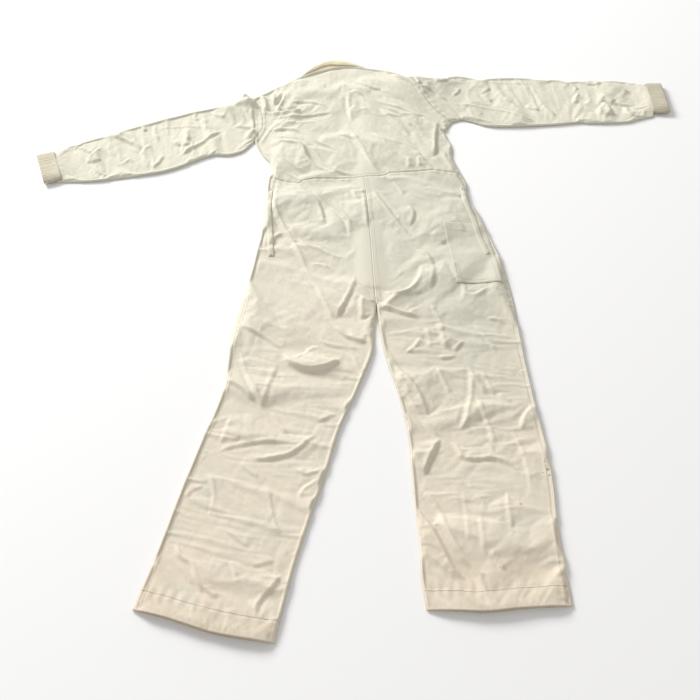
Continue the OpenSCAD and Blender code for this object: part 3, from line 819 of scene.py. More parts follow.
def new_piece(name, points, faces, material, flat_uv):
    """A mesh piece from points in mm."""
    mesh = bpy.data.meshes.new(name)
    mesh.from_pydata((np.asarray(points, float) * MM).tolist(), [], [list(map(int, f)) for f in faces])
    mesh.polygons.foreach_set("use_smooth", [True] * len(mesh.polygons))
    add_maps(mesh, flat_uv)
    piece = bpy.data.objects.new(name, mesh)
    scene.collection.objects.link(piece)
    mesh.materials.append(material)
    return piece


def grid_faces(rows, columns, flip=False):
    index = np.arange(rows * columns).reshape(rows, columns)
    quads = np.stack([index[:-1, :-1], index[1:, :-1], index[1:, 1:], index[:-1, 1:]], -1).reshape(-1, 4)
    return quads[:, ::-1] if flip else quads


def thicken(piece, thickness):
    """Give an open sheet its thickness, and apply it to the mesh."""
    solid = piece.modifiers.new("thickness", "SOLIDIFY")
    solid.thickness = thickness
    solid.offset = -1
    solid.use_even_offset = False
    apply_modifiers(piece)
    return piece


def apply_modifiers(piece):
    shown = piece.evaluated_get(bpy.context.evaluated_depsgraph_get())
    mesh = bpy.data.meshes.new_from_object(shown)
    piece.modifiers.clear()
    piece.data = mesh
    return piece


def sheet_piece(name, grid, material, flip=False, thickness=cloth_thickness):
    """A grid of points in mm as a cloth sheet, with its thickness below its face."""
    rows, columns = grid.shape[:2]
    steps_down = np.linalg.norm(np.diff(grid, axis=0), axis=2).mean(1)
    steps_across = np.linalg.norm(np.diff(grid, axis=1), axis=2).mean(0)
    v = np.concatenate([[0], np.cumsum(steps_down)])
    u = np.concatenate([[0], np.cumsum(steps_across)])
    flat_uv = np.stack(np.meshgrid(u, v), -1).reshape(-1, 2) * MM
    piece = new_piece(name, grid.reshape(-1, 3), grid_faces(rows, columns, flip), material, flat_uv)
    return thicken(piece, thickness)


def grid_area(grid):
    """Area of a grid of points in mm, in square metres."""
    a = grid[1:, 1:] - grid[:-1, :-1]
    b = grid[1:, :-1] - grid[:-1, 1:]
    return float(np.linalg.norm(np.cross(a, b), axis=2).sum() / 2 * MM * MM)


def flat_size(grid):
    """Width and length of a grid of points along its rows and columns, in metres."""
    across = np.linalg.norm(np.diff(grid, axis=1), axis=2).sum(1).max() * MM
    down = np.linalg.norm(np.diff(grid, axis=0), axis=2).sum(0).max() * MM
    return float(across), float(down)


# %% [markdown]
# ## Cream cotton
# The suit's cloth is a fine polycotton twill, washed many times. Close up it has a slanting weave, from
# further off it has faint slubs, and from a step away its colour drifts: cool ivory on the body, warmer and
# dirtier towards the hems. The weave is bump only, because its cells are half a millimetre. All of it is
# read from the two UV maps, so it is fixed to the cloth.

# %% Cloth material


class Nodes:
    """A short way to add shader nodes and link them."""

    def __init__(self, name):
        self.material = bpy.data.materials.new(name)
        self.material.use_nodes = True
        self.tree = self.material.node_tree
        self.shader = self.tree.nodes["Principled BSDF"]

    def add(self, kind, links=None, **settings):
        node = self.tree.nodes.new(kind)
        for key, value in settings.items():
            setattr(node, key, value)
        for socket, value in (links or {}).items():
            self.put(node.inputs[socket], value)
        return node

    def put(self, socket, value):
        if isinstance(value, bpy.types.NodeSocket):
            self.tree.links.new(value, socket)
        else:
            socket.default_value = value

    def math(self, operation, *values):
        node = self.add("ShaderNodeMath", operation=operation)
        for k, value in enumerate(values):
            self.put(node.inputs[k], value)
        return node.outputs[0]

    def mix(self, amount, first, second, blend_type="MIX"):
        node = self.add("ShaderNodeMix", data_type="RGBA", blend_type=blend_type)
        self.put(node.inputs[0], amount)
        self.put(node.inputs[6], first)
        self.put(node.inputs[7], second)
        return node.outputs[2]

    def ramp(self, value, low, high):
        """0 below low and 1 above high."""
        node = self.add("ShaderNodeMapRange", {"Value": value, "From Min": low, "From Max": high}, clamp=True)
        return node.outputs[0]

    def noise(self, vector, scale, detail=3.0, rough=0.5):
        node = self.add("ShaderNodeTexNoise", {"Vector": vector, "Scale": scale, "Detail": detail,
                                               "Roughness": rough}, noise_dimensions="3D")
        return node.outputs["Fac"]


def place_and_cloth(nodes):
    """The two maps as vectors: the cloth map in millimetres, and the place map in metres."""
    cloth_map = nodes.add("ShaderNodeUVMap", uv_map="cloth").outputs[0]
    place_map = nodes.add("ShaderNodeUVMap", uv_map="place").outputs[0]
    scaled = nodes.add("ShaderNodeVectorMath", {0: cloth_map}, operation="SCALE")
    scaled.inputs["Scale"].default_value = 1000.0
    return scaled.outputs[0], place_map


def weave_height(nodes, cloth_mm, pitch, slant=True):
    """The height of a weave of a given pitch in mm: 0 in the gaps and 1 on the threads."""
    parts = nodes.add("ShaderNodeSeparateXYZ", {0: cloth_mm})
    turn = 2 * math.pi / pitch
    across = nodes.math("MULTIPLY", parts.outputs[0], turn)
    along = nodes.math("MULTIPLY", parts.outputs[1], turn * (0.5 if slant else 1.0))
    if slant:
        return nodes.math("SINE", nodes.math("ADD", across, along))
    return nodes.math("MULTIPLY", nodes.math("SINE", across), nodes.math("SINE", along))


def cloth_material(name, cool, warm, grime, stain_places=()):
    """Washed twill: colour drifts from cool at the collar to warm at the hems, with grime, stains and painted
    shade.
    """
    n = Nodes(name)
    cloth_mm, place = place_and_cloth(n)
    parts = n.add("ShaderNodeSeparateXYZ", {0: place})
    low_down = n.ramp(parts.outputs[1], 0.25, -0.72)
    drift = n.noise(place, 3.2, 2.0)
    toward_warm = n.math("ADD", low_down, n.math("MULTIPLY", n.math("SUBTRACT", drift, 0.5), 1.1))
    colour = n.mix(n.ramp(toward_warm, 0.0, 1.0), (*cool, 1), (*warm, 1))
    cloudy = n.noise(place, 11.0, 4.0, 0.6)
    colour = n.mix(n.ramp(cloudy, 0.50, 0.80), colour, tuple(0.93 * c for c in cool) + (1,))
    # Painted shade: the right half of the back, from the shoulder down to the upper right leg, is darkened
    # where the light is weaker.
    right_side_painted_shade = n.math("MULTIPLY", n.ramp(parts.outputs[0], -0.02, 0.20), n.ramp(parts.outputs[1], -0.45, -0.12))
    right_side_painted_shade = n.math("MULTIPLY", right_side_painted_shade, n.ramp(parts.outputs[0], 0.40, 0.26))
    colour = n.mix(n.math("MULTIPLY", right_side_painted_shade, 0.75), colour, tuple(0.86 * c for c in cool) + (1,))
    hem_grime = n.math("MULTIPLY", n.ramp(parts.outputs[1], -0.60, -0.80),
                       n.ramp(n.noise(place, 16.0, 5.0, 0.65), 0.42, 0.72))
    colour = n.mix(n.math("MULTIPLY", hem_grime, 0.55), colour, (*grime, 1))
    specks = n.ramp(n.noise(cloth_mm, 0.055, 2.0), 0.74, 0.80)
    colour = n.mix(n.math("MULTIPLY", specks, 0.16), colour, (*grime, 1))
    for x, y, radius, strength in stain_places:
        centre = (x * MM, y * MM, 0)
        off = n.add("ShaderNodeVectorMath", {0: place, 1: centre}, operation="DISTANCE").outputs[1]
        ragged = n.math("ADD", off, n.math("MULTIPLY", n.noise(place, 260.0, 3.0), radius * 1.1 * MM))
        spot = n.ramp(ragged, radius * 1.55 * MM, radius * 0.75 * MM)
        colour = n.mix(n.math("MULTIPLY", spot, strength), colour, (0.30, 0.18, 0.06, 1))
    thread_tone = n.ramp(n.noise(cloth_mm, 1.7, 2.0), 0.2, 0.9)
    colour = n.mix(n.math("MULTIPLY", thread_tone, 0.05), colour, (0.55, 0.50, 0.38, 1))
    n.put(n.shader.inputs["Base Color"], colour)
    weave = weave_height(n, cloth_mm, 0.62)
    slub = n.noise(cloth_mm, 0.9, 3.0)
    crumple = n.noise(cloth_mm, 0.085, 4.0, 0.55)
    height = n.math("ADD", n.math("MULTIPLY", weave, 0.10),
                    n.math("ADD", n.math("MULTIPLY", slub, 0.25), n.math("MULTIPLY", crumple, 1.6)))
    bump = n.add("ShaderNodeBump", {"Height": height, "Distance": 0.001, "Strength": 0.55})
    n.put(n.shader.inputs["Normal"], bump.outputs[0])
    n.put(n.shader.inputs["Roughness"], n.add("ShaderNodeMapRange", {"Value": cloudy, "To Min": 0.82,
                                                                    "To Max": 0.93}).outputs[0])
    n.shader.inputs["Sheen Weight"].default_value = 0.12
    n.shader.inputs["Sheen Roughness"].default_value = 0.5
    n.shader.inputs["Specular IOR Level"].default_value = 0.25
    return n.material


LEG_STAINS = [(347, -468, 4.5, 0.85), (343, -452, 2.6, 0.8), (349, -480, 3.4, 0.7), (338, -474, 1.8, 0.7),
              (344, -447, 2.0, 0.6), (287, -540, 3.6, 0.6), (292, -546, 1.8, 0.5), (253, -378, 2.2, 0.7)]
ivory = (0.775, 0.75, 0.62)
peach = (0.83, 0.735, 0.59)
dust = (0.52, 0.40, 0.25)
body_twill = cloth_material("body_twill", ivory, (0.78, 0.735, 0.60), dust)
leg_twill = cloth_material("leg_twill", (0.77, 0.745, 0.622), peach, dust, LEG_STAINS)
inner_twill = cloth_material("inner_twill", (0.74, 0.68, 0.50), (0.70, 0.62, 0.45), dust)
collar_cream = cloth_material("collar_cream", (0.88, 0.80, 0.60), (0.86, 0.77, 0.57), dust)
# The stand's cloth is the collar's cream made darker and more tan: painted shade of its inner face.
collar_tan_painted_shade = cloth_material("collar_tan_painted_shade", (0.84, 0.73, 0.49), (0.80, 0.68, 0.44), dust)
print("cloth materials:", [m.name for m in (body_twill, leg_twill, inner_twill, collar_cream, collar_tan_painted_shade)])

# %% [markdown]
# ## The back panels
# Each panel is cut from the settled cloth with its grid. A leg panel runs from the waist to the hem in one
# piece, as the cut does, so it stands for the seat and the leg of the imported model together. The centre
# seat seam stays with the body, so the two halves never part there.

# %% Back panels
leg_turn = {"left": ((-0.128, -0.085, 0), (-0.190, -0.330, 0)),
            "right": ((0.185, -0.080, 0), (0.205, -0.330, 0))}
arm_turn = {"left": ((-0.250, 0.556, 0), (-0.400, 0.500, 0)), "right": ((0.200, 0.628, 0), (0.360, 0.630, 0))}
SHEETS = []


def declare(piece, grid, body=None, bend=None, replaces=()):
    """Set the body and cloth facts of a sheet in one place."""
    if bend:
        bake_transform(piece)
    else:
        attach(piece, body)
    if replaces:
        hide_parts(*replaces)
    width, length = flat_size(grid)
    area = grid_area(grid)
    SHEETS.append((piece.name, width, length, area))
    return piece


back_body = sheet_piece("back_of_body", PANEL["bodice"], body_twill)
declare(back_body, PANEL["bodice"], body="body", replaces=["back_bodice"])
for hand in ("left", "right"):
    grid = PANEL[hand + "_leg"]
    leg = sheet_piece(hand + "_leg_back_panel", grid, leg_twill)
    declare(leg, grid, bend=(hand + "_leg", leg_turn[hand]),
            replaces=["back_seat_" + hand, hand + "_leg_back"])
    grid = PANEL[hand + "_sleeve"]
    sleeve = sheet_piece(hand + "_sleeve_back_panel", grid, body_twill, flip=hand == "right")
    declare(sleeve, grid, bend=(hand + "_arm", arm_turn[hand]), replaces=[hand + "_sleeve_back"])
print("back panels:", [(name, round(w, 2), round(l, 2), round(a, 3)) for name, w, l, a in SHEETS])

# %% [markdown]
# ## The fronts, underneath
# The front panels lie flat on the floor under the back. They are cut from the same edges, so the side seams
# close, but they meet at the zip and not in a seat seam. Only their underside shows, and only from below,
# so a coarser grid is enough: level cloth with a slight wave, raised a little where a chest pocket lies
# under it.

# %% Front panels


def node_box(name):
    """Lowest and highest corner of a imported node, in mm."""
    low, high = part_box(name)
    return np.array(low) / MM, np.array(high) / MM


zip_x = (node_box("zip_teeth_left")[1][0] + node_box("zip_teeth_right")[0][0]) / 2
zip_low, zip_high = (node_box("zip_tape_left")[k][1] for k in (0, 1))
front_gap = zip_x - node_box("front_bodice_left")[1][0]
front_neck = node_box("front_facing_left")[1][1] + 4
front_columns = 40
print("zip line at x =", round(zip_x, 1), "mm, from y =", round(zip_low), "to", round(zip_high))


def under_grid(plan, edges, pockets=()):
    """A front panel's grid with its height: level, with a slight wave, and up at its closed edges."""
    points = plan.reshape(-1, 2)
    near_edge = np.full(len(points), 1e9)
    for edge in edges:
        near_edge = np.minimum(near_edge, distance_to(points, spaced(edge, 50))[0])
    wave = np.array([noise.noise(Vector((x / 55, y / 75, 12.0))) for x, y in points])
    z = 1.25 + 0.3 * wave + 1.1 * np.exp(-((near_edge / 6.0) ** 2))
    for low, high in pockets:
        outside = np.maximum(np.maximum(low[:2] - points, points - high[:2]), 0).max(1)
        z = z + 1.15 * smooth_step(1 - outside / 6.0)
    return np.column_stack([points, z]).reshape(plan.shape[:2] + (3,))


NECK_LEFT = [(-159, 722), (-120, 700), (-60, 674), (zip_x - front_gap, front_neck)]
NECK_RIGHT = [(zip_x + front_gap, front_neck), (75, 674), (115, 700), (130, 722)]
for hand, sign in (("left", -1), ("right", 1)):
    edge_x = zip_x + sign * front_gap
    armhole = LEFT_ARMHOLE if hand == "left" else RIGHT_ARMHOLE
    side = LEFT_SIDE if hand == "left" else RIGHT_SIDE
    outseam = LEFT_OUTSEAM if hand == "left" else RIGHT_OUTSEAM
    inseam = LEFT_INSEAM if hand == "left" else RIGHT_INSEAM
    hem = LEFT_HEM if hand == "left" else RIGHT_HEM
    neck = NECK_LEFT if hand == "left" else NECK_RIGHT
    opening = spaced([neck[-1] if hand == "left" else neck[0], (edge_x, 331)], 80, smooth=False)
    outer = joined(spaced(armhole, 36), spaced(side, 44))
    if hand == "left":
        top = joined(spaced(SHOULDER_LINE[:4], 18), spaced(neck, front_columns - 18))
        waist = spaced([(-228, 330), (-114, 331), (edge_x, 331)], front_columns)
        plan = filled(top, waist, outer, opening)
    else:
        waist = spaced([(edge_x, 331), (130, 336), (248, 335)], front_columns)
        plan = filled(spaced(neck, front_columns), waist, opening, outer)
    pocket_box = node_box("chest_pocket_" + hand)
    grid = under_grid(plan, [armhole, side, SHOULDER_LINE], [pocket_box])
    front = sheet_piece("front_of_body_" + hand, grid, body_twill)
    declare(front, grid, body="body", replaces=["front_bodice_" + hand])

    centre = joined(spaced([(edge_x, 331), (edge_x, 120), (edge_x, 1)], 44, smooth=False),
                    spaced([(edge_x, 1), (zip_x + 6 + sign * 3, -40), (29, -68)], 14))
    inner = joined(centre, spaced(inseam, 102))
    if hand == "left":
        plan = filled(waist, spaced(hem, front_columns), spaced(outseam, 160), inner)
    else:
        plan = filled(waist, spaced(hem, front_columns), inner, spaced(outseam, 160))
    grid = under_grid(plan, [outseam, inseam])
    leg = sheet_piece(hand + "_leg_front_panel", grid, leg_twill)
    declare(leg, grid, bend=(hand + "_leg", leg_turn[hand]),
            replaces=["front_seat_" + hand, hand + "_leg_front"])

    ends = LEFT_SLEEVE_END if hand == "left" else RIGHT_SLEEVE_END
    sleeve_top = LEFT_SLEEVE_TOP if hand == "left" else RIGHT_SLEEVE_TOP
    sleeve_under = LEFT_SLEEVE_UNDER if hand == "left" else RIGHT_SLEEVE_UNDER
    plan = filled(spaced(armhole, 28), spaced(ends, 28), spaced(sleeve_top, 90, smooth=hand == "right"),
                  spaced(sleeve_under, 90))
    grid = under_grid(plan, [sleeve_top, sleeve_under])
    sleeve = sheet_piece(hand + "_sleeve_front_panel", grid, body_twill, flip=hand == "right")
    declare(sleeve, grid, bend=(hand + "_arm", arm_turn[hand]), replaces=[hand + "_sleeve_front"])
print("sheets so far:", len(SHEETS))

# %% [markdown]
# ## Turned hems
# A trouser hem is the cloth folded up inside and stitched down. The panel already carries the outside. This
# is the inside layer: a strip as deep as the hem that hangs just under it and shows in the open mouth of
# the leg.

# %% Hem turn-ups
hem_depth = 37.0


def hem_strip(hand):
    """The inside layer of a hem, from the mouth of the leg up to the stitch line."""
    panel = PANEL[hand + "_leg"]
    rows = int(round(hem_depth / 2.5))
    strip = panel[-rows:, ::2].copy()
    strip[..., 2] -= np.linspace(1.6, 1.2, rows)[:, None]
    strip[..., 2] = np.maximum(strip[..., 2], 1.4)
    return strip


for hand in ("left", "right"):
    grid = hem_strip(hand)
    hem = sheet_piece(hand + "_hem_turn_up", grid, inner_twill, thickness=0.7 * MM)
    declare(hem, grid, body=hand + "_leg")

# %% [markdown]
# ## Stitching
# A seam is held by thread, and thread is what the eye uses to tell cloth from plaster. A row of stitches is
# a line on the cloth broken into short, fat dashes that dip at both ends. One mesh holds each row, because
# a row never comes apart.

# %% Stitch rows
stitch_sides = 6


def stitch_row(name, line, material, stitch=2.6, gap=0.7, radius=0.34, lift=0.25):
    """Dashes of thread along a line of points in mm."""
    line = np.asarray(line, float)
    run = np.concatenate([[0], np.cumsum(np.linalg.norm(np.diff(line, axis=0), axis=1))])
    starts = np.arange(0, run[-1] - stitch, stitch + gap)
    share = np.array([0.0, 0.18, 0.5, 0.82, 1.0])
    fat = np.array([0.35, 0.9, 1.0, 0.9, 0.35]) * radius
    dip = np.array([-0.35, 0.0, 0.1, 0.0, -0.35]) * radius * 2
    turn = np.linspace(0, 2 * math.pi, stitch_sides, endpoint=False)
    points, faces = [], []
    for start in starts:
        s = start + share * stitch
        middle = np.stack([np.interp(s, run, line[:, k]) for k in range(3)], 1)
        ahead = middle[-1] - middle[0]
        ahead = ahead / (np.linalg.norm(ahead) + 1e-9)
        beside = np.array([-ahead[1], ahead[0], 0.0])
        beside /= np.linalg.norm(beside) + 1e-9
        up = np.cross(ahead, beside)
        up = up if up[2] > 0 else -up
        base = len(points)
        for k in range(len(share)):
            centre = middle[k] + up * (lift + dip[k])
            for a in turn:
                points.append(centre + fat[k] * (math.cos(a) * beside + 0.8 * math.sin(a) * up))
        for k in range(len(share) - 1):
            for a in range(stitch_sides):
                b = (a + 1) % stitch_sides
                ring = base + k * stitch_sides
                faces.append((ring + a, ring + b, ring + stitch_sides + b, ring + stitch_sides + a))
        faces.append(tuple(base + a for a in reversed(range(stitch_sides))))
        faces.append(tuple(base + 4 * stitch_sides + a for a in range(stitch_sides)))
    mesh = bpy.data.meshes.new(name)
    mesh.from_pydata((np.array(points) * MM).tolist(), [], faces)
    mesh.polygons.foreach_set("use_smooth", [True] * len(mesh.polygons))
    add_maps(mesh)
    mesh.materials.append(material)
    piece = bpy.data.objects.new(name, mesh)
    scene.collection.objects.link(piece)
    STITCHES.append((name, len(starts)))
    return piece


def thread_material(name, colour, dark):
    """Spun thread: a fine twist along each stitch, and a little dirt in the dips."""
    n = Nodes(name)
    cloth_mm, place = place_and_cloth(n)
    twist = weave_height(n, cloth_mm, 0.45)
    colour_out = n.mix(n.ramp(n.noise(place, 60.0, 3.0), 0.35, 0.7), (*colour, 1), (*dark, 1))
    n.put(n.shader.inputs["Base Color"], colour_out)
    bump = n.add("ShaderNodeBump", {"Height": twist, "Distance": 0.0003, "Strength": 0.6})
    n.put(n.shader.inputs["Normal"], bump.outputs[0])
    n.shader.inputs["Roughness"].default_value = 0.7
    n.shader.inputs["Sheen Weight"].default_value = 0.15
    return n.material


STITCHES = []
cream_thread = thread_material("cream_thread", (0.74, 0.70, 0.56), (0.56, 0.50, 0.36))
brown_thread = thread_material("brown_thread", (0.34, 0.23, 0.12), (0.22, 0.14, 0.07))


def along_row(panel, row, first, last, count=120):
    """Points along a row of a panel, between two columns."""
    return np.array([place_on(panel, row, c) for c in np.linspace(first, last, count)])


def along_column(panel, column, first, last, count=240):
    """Points along a column of a panel, between two rows."""
    return np.array([place_on(panel, r, column) for r in np.linspace(first, last, count)])


bodice = PANEL["bodice"]
bodice_last = bodice.shape[0] - 1
bodice_wide = bodice.shape[1] - 1
seat_last = 2 * seat_rows
near_rows = (1.2, 3.8)
for k, offset in enumerate(near_rows):
    waist_line = along_row(bodice, bodice_last - offset, 2, bodice_wide - 2, 300)
    row = stitch_row(f"waist_stitches_{k + 1}", waist_line, cream_thread)
    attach(row, "body")
    seat = PANEL["right_leg"]
    seat_line = along_column(seat, offset, 2, seat_last - 2)
    row = stitch_row(f"seat_seam_stitches_{k + 1}", seat_line, cream_thread)
    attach(row, "body")
for hand in ("left", "right"):
    sleeve = PANEL[hand + "_sleeve"]
    columns = sleeve.shape[1] - 1
    for k, offset in enumerate(near_rows):
        edge_column = offset if hand == "left" else bodice_wide - offset
        last_row = 2 * (left_armhole_rows if hand == "left" else right_armhole_rows)
        row = stitch_row(f"{hand}_armhole_stitches_{k + 1}",
                         along_column(bodice, edge_column, 1, last_row - 1, 160), cream_thread)
        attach(row, "body")
    leg = PANEL[hand + "_leg"]
    leg_last = leg.shape[0] - 1
    leg_wide = leg.shape[1] - 1
    outer_columns = (3.2, 5.4) if hand == "left" else (leg_wide - 3.2, leg_wide - 5.4)
    for k, column in enumerate(outer_columns):
        row = stitch_row(f"{hand}_outseam_stitches_{k + 1}",
                         along_column(leg, column, seat_last if hand == "left" else 4, leg_last - 2, 420),
                         cream_thread)
        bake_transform(row)
    inner_column = leg_wide - 2.6 if hand == "left" else 2.6
    inseam_line = along_column(leg, inner_column, seat_last + 6, leg_last - 2, 300)
    row = stitch_row(f"{hand}_inseam_stitches", inseam_line, cream_thread)
    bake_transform(row)
    hem_row = leg_last - hem_depth / 2.5
    row = stitch_row(f"{hand}_hem_stitches", along_row(leg, hem_row, 1, leg_wide - 1, 260), brown_thread,
                     stitch=3.0, gap=0.8, radius=0.42, lift=0.3)
    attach(row, hand + "_leg")
print("stitches:", sum(count for name, count in STITCHES), "in", len(STITCHES), "rows")

# %% [markdown]
# ## Knitted cuffs
# The sleeves end in a short rib knit. A rib is a wave of stitches that stands up and falls back around the
# wrist, so the cuff is a flattened tube whose wall waves in and out, with small loops in the bump. It is
# tucked a few millimetres into the sleeve, as it is when sewn, and its mouth stays open.

# %% Knit material and cuffs


def knit_material(name, colour, shade):
    """Rib knit: V-shaped loops in columns, yellowed and grubby in patches, with painted shade in its low
    parts.
    """
    n = Nodes(name)
    cloth_mm, place = place_and_cloth(n)
    parts = n.add("ShaderNodeSeparateXYZ", {0: cloth_mm})
    column = n.math("ABSOLUTE", n.math("SINE", n.math("MULTIPLY", parts.outputs[0], math.pi / 1.5)))
    loops = n.math("SINE", n.math("ADD", n.math("MULTIPLY", parts.outputs[1], 2 * math.pi / 1.3),
                                  n.math("MULTIPLY", column, 2.6)))
    height = n.math("ADD", n.math("MULTIPLY", column, 0.7), n.math("MULTIPLY", loops, 0.3))
    dirt = n.ramp(n.noise(place, 34.0, 4.0, 0.6), 0.35, 0.75)
    base = n.mix(dirt, (*colour, 1), (*shade, 1))
    # Painted shade: the low parts of the knit, between the ribs and loops, are darkened.
    base = n.mix(n.math("MULTIPLY", n.ramp(height, 0.45, -0.1), 0.4), base, (*[0.6 * c for c in shade], 1))
    n.put(n.shader.inputs["Base Color"], base)
    bump = n.add("ShaderNodeBump", {"Height": height, "Distance": 0.0007, "Strength": 0.9})
    n.put(n.shader.inputs["Normal"], bump.outputs[0])
    n.shader.inputs["Roughness"].default_value = 0.92
    n.shader.inputs["Sheen Weight"].default_value = 0.2
    return n.material


cuff_knit = knit_material("cuff_knit", (0.84, 0.79, 0.63), (0.75, 0.67, 0.48))
CUFFS = {"left": ((-758.5, 369.0), (-790.5, 356.5), 53.0), "right": ((771.0, 630.3), (804.5, 630.3), 59.5)}
cuff_around = 176
cuff_along = 16
rib_count = 40


def cuff_grid(start, end, half_width, half_height, tuck):
    """A flattened, ribbed tube from inside the sleeve end to the wrist."""
    start, end = np.array(start), np.array(end)
    ahead = (end - start) / np.linalg.norm(end - start)
    beside = np.array([-ahead[1], ahead[0]])
    length = np.linalg.norm(end - start) + tuck
    rows = []
    for s in np.linspace(0, 1, cuff_along + 1):
        centre = start + ahead * (s * length - tuck)
        ease = 1 + 0.035 * math.sin(math.pi * s) - 0.03 * (1 - s)
        ring = []
        for a in np.linspace(0, 2 * math.pi, cuff_around + 1):
            rib = 0.8 * math.cos(rib_count * a) * (0.6 + 0.4 * s)
            ca, sa = math.cos(a), math.sin(a)
            flat_x = (half_width * ease + rib) * math.copysign(abs(ca) ** 0.75, ca)
            sag = 1 - 0.18 * math.cos(2 * a) ** 2 + 0.12 * math.sin(3 * a + 1.0)
            high = (half_height - 1.1 + rib) * math.copysign(abs(sa) ** 0.85, sa) * sag
            xy = centre + beside * flat_x
            ring.append((xy[0], xy[1], half_height + 0.4 + high))
        rows.append(ring)
    return np.array(rows)


for hand, (start, end, half_width) in CUFFS.items():
    cuff_top = node_box(hand + "_cuff")[1][2]
    grid = cuff_grid(start, end, half_width, cuff_top / 2, tuck=9.0)
    cuff = sheet_piece(hand + "_ribbed_cuff", grid, cuff_knit, flip=True, thickness=1.5 * MM)
    declare(cuff, grid, body=hand + "_arm", replaces=[hand + "_cuff"])
print("cuffs: ribs", rib_count, "each")

# %% [markdown]
# ## Collar
# It is a shirt collar in two parts: a stand sewn to the neck, and a leaf that folds over it. The suit lies
# on its front, so the stand is seen over the neck seam, its yellowed cream darkened to tan as painted shade
# of its inner face, and the leaf lies over the rest of it and rolls down behind. Each is a sheet stretched
# between two lines; the roll of the leaf is a quarter turn to the floor.

# %% Collar
NECK_SEAM = [(-157, 726), (-120, 743), (-81, 758), (-42, 766), (-15, 764), (15, 757)]
COLLAR_CREST = [(-159, 727), (-133, 752), (-101, 775), (-76, 780),
                (-54, 779), (-32, 773), (-9, 766), (17, 757)]
COLLAR_EDGE = [(-160, 727), (-135, 757), (-100, 784), (-70, 792), (-48, 791), (-23, 781), (0, 769), (18, 757)]
collar_steps = 70
collar_top = node_box("collar_leaf")[1][2]
neck_line = spaced(NECK_SEAM, collar_steps)
crest_line = spaced(COLLAR_CREST, collar_steps)
edge_line = spaced(COLLAR_EDGE, collar_steps)
across_steps = np.linspace(0, 1, 21)
stand_rows, leaf_rows = [], []
for k in range(collar_steps + 1):
    share = k / collar_steps
    swell = math.sin(math.pi * share) ** 0.6
    ruck = 0.9 * math.sin(share * 23.0) + 0.5 * math.sin(share * 41.0 + 1.0)
    low = 3.6 + 2.2 * swell
    meet_share = 0.52 - 0.38 * float(smooth_step((share - 0.45) / 0.2))
    meet_line = neck_line[k] * (1 - meet_share) + crest_line[k] * meet_share
    meet = low + 3.0 * swell
    crest = meet + 1.0 + 0.08 * collar_top * swell
    stand, leaf = [], []
    for t in across_steps:
        flat = neck_line[k] * (1 - t) + (meet_line * 0.7 + crest_line[k] * 0.3) * t
        stand.append((flat[0], flat[1], low + (meet - low) * t + 0.4 * ruck * swell * t * (1 - t)))
        if t < 0.5:
            out = meet_line * (1 - 2 * t) + crest_line[k] * 2 * t
            z = meet + 1.3 + (crest - meet - 1.3) * math.sin(math.pi * t)
            z += 0.5 * ruck * swell * math.sin(2 * math.pi * t)
        else:
            turn = (t - 0.5) * math.pi
            out = crest_line[k] + (edge_line[k] - crest_line[k]) * math.sin(turn)
            z = 2.4 + (crest - 2.4) * max(math.cos(turn), 0.0) ** 0.5
        leaf.append((out[0], out[1], z))
    stand_rows.append(stand)
    leaf_rows.append(leaf)
stand_grid = np.array(stand_rows)
leaf_grid = np.array(leaf_rows)
# The stand is made in the darker tan that is painted shade on its inner face.
stand = sheet_piece("collar_stand_inside", stand_grid, collar_tan_painted_shade, flip=True)
declare(stand, stand_grid, body="body", replaces=["collar_stand"])
leaf = sheet_piece("collar_leaf_over", leaf_grid, collar_cream, flip=True)
declare(leaf, leaf_grid, body="body", replaces=["collar_leaf"])
# Brown stitches along the leaf's step, where it rises from the stand: a painted shadow line under the step.
leaf_middle = leaf_grid[:, 1] + np.array([0, 0, 0.1])
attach(stitch_row("collar_step_shadow_stitches", leaf_middle[3:-3], brown_thread), "body")

COLLAR_POINTS = {"left": ([(-150, 722), (-119, 702), (-59, 675), (zip_x - 8, 666)],
                          [(-157, 727), (-118, 764), (-66, 786), (-30, 745), (zip_x - 8, 715)]),
                 "right": ([(132, 721), (114, 702), (74, 675), (zip_x + 8, 666)],
                           [(134, 723), (108, 733), (62, 738), (40, 728), (zip_x + 8, 715)])}
for hand, (inner_line, outer_line) in COLLAR_POINTS.items():
    inner = spaced(inner_line, 30)
    outer = spaced(outer_line, 30)
    rows = [[(*(a * (1 - t) + b * t), 1.15 + 0.2 * math.sin(5 * t + k / 6)) for t in np.linspace(0, 1, 12)]
            for k, (a, b) in enumerate(zip(inner, outer))]
    grid = np.array(rows)
    point = sheet_piece("collar_front_" + hand, grid, body_twill, flip=hand == "right")
    declare(point, grid, body="body")

# %% [markdown]
# ## Hip pocket
# One patch pocket is sewn to the right seat. Its cloth is turned under on three sides and hemmed at the
# top, then topstitched twice. The patch is a grid in the pocket's own outline that drops onto the seat and
# takes its folds, standing one cloth proud. It is one closed patch here, so its mouth doesn't open.

# %% Hip pocket
POCKET_LEFT = [(190, 172), (198, 87), (207, -10)]
POCKET_RIGHT = [(283, 168), (297, 90), (309, -10)]
pocket_left = spaced(POCKET_LEFT, 60)
pocket_right = spaced(POCKET_RIGHT, 60)
pocket_rows = []
for k in range(61):
    columns = [pocket_left[k] * (1 - t) + pocket_right[k] * t for t in np.linspace(0, 1, 41)]
    pocket_rows.append(on_back(columns, 1.1))
pocket_grid = np.array(pocket_rows)
for step in range(2):
    pocket_grid[1:-1, 1:-1, 2] = (pocket_grid[:-2, 1:-1, 2] + pocket_grid[2:, 1:-1, 2]
                                  + pocket_grid[1:-1, :-2, 2] + pocket_grid[1:-1, 2:, 2]) / 4
pocket_grid[..., 2] += 0.5
pocket = sheet_piece("hip_pocket_patch", pocket_grid, leg_twill, thickness=1.1 * MM)
declare(pocket, pocket_grid, body="body", replaces=["hip_pocket"])
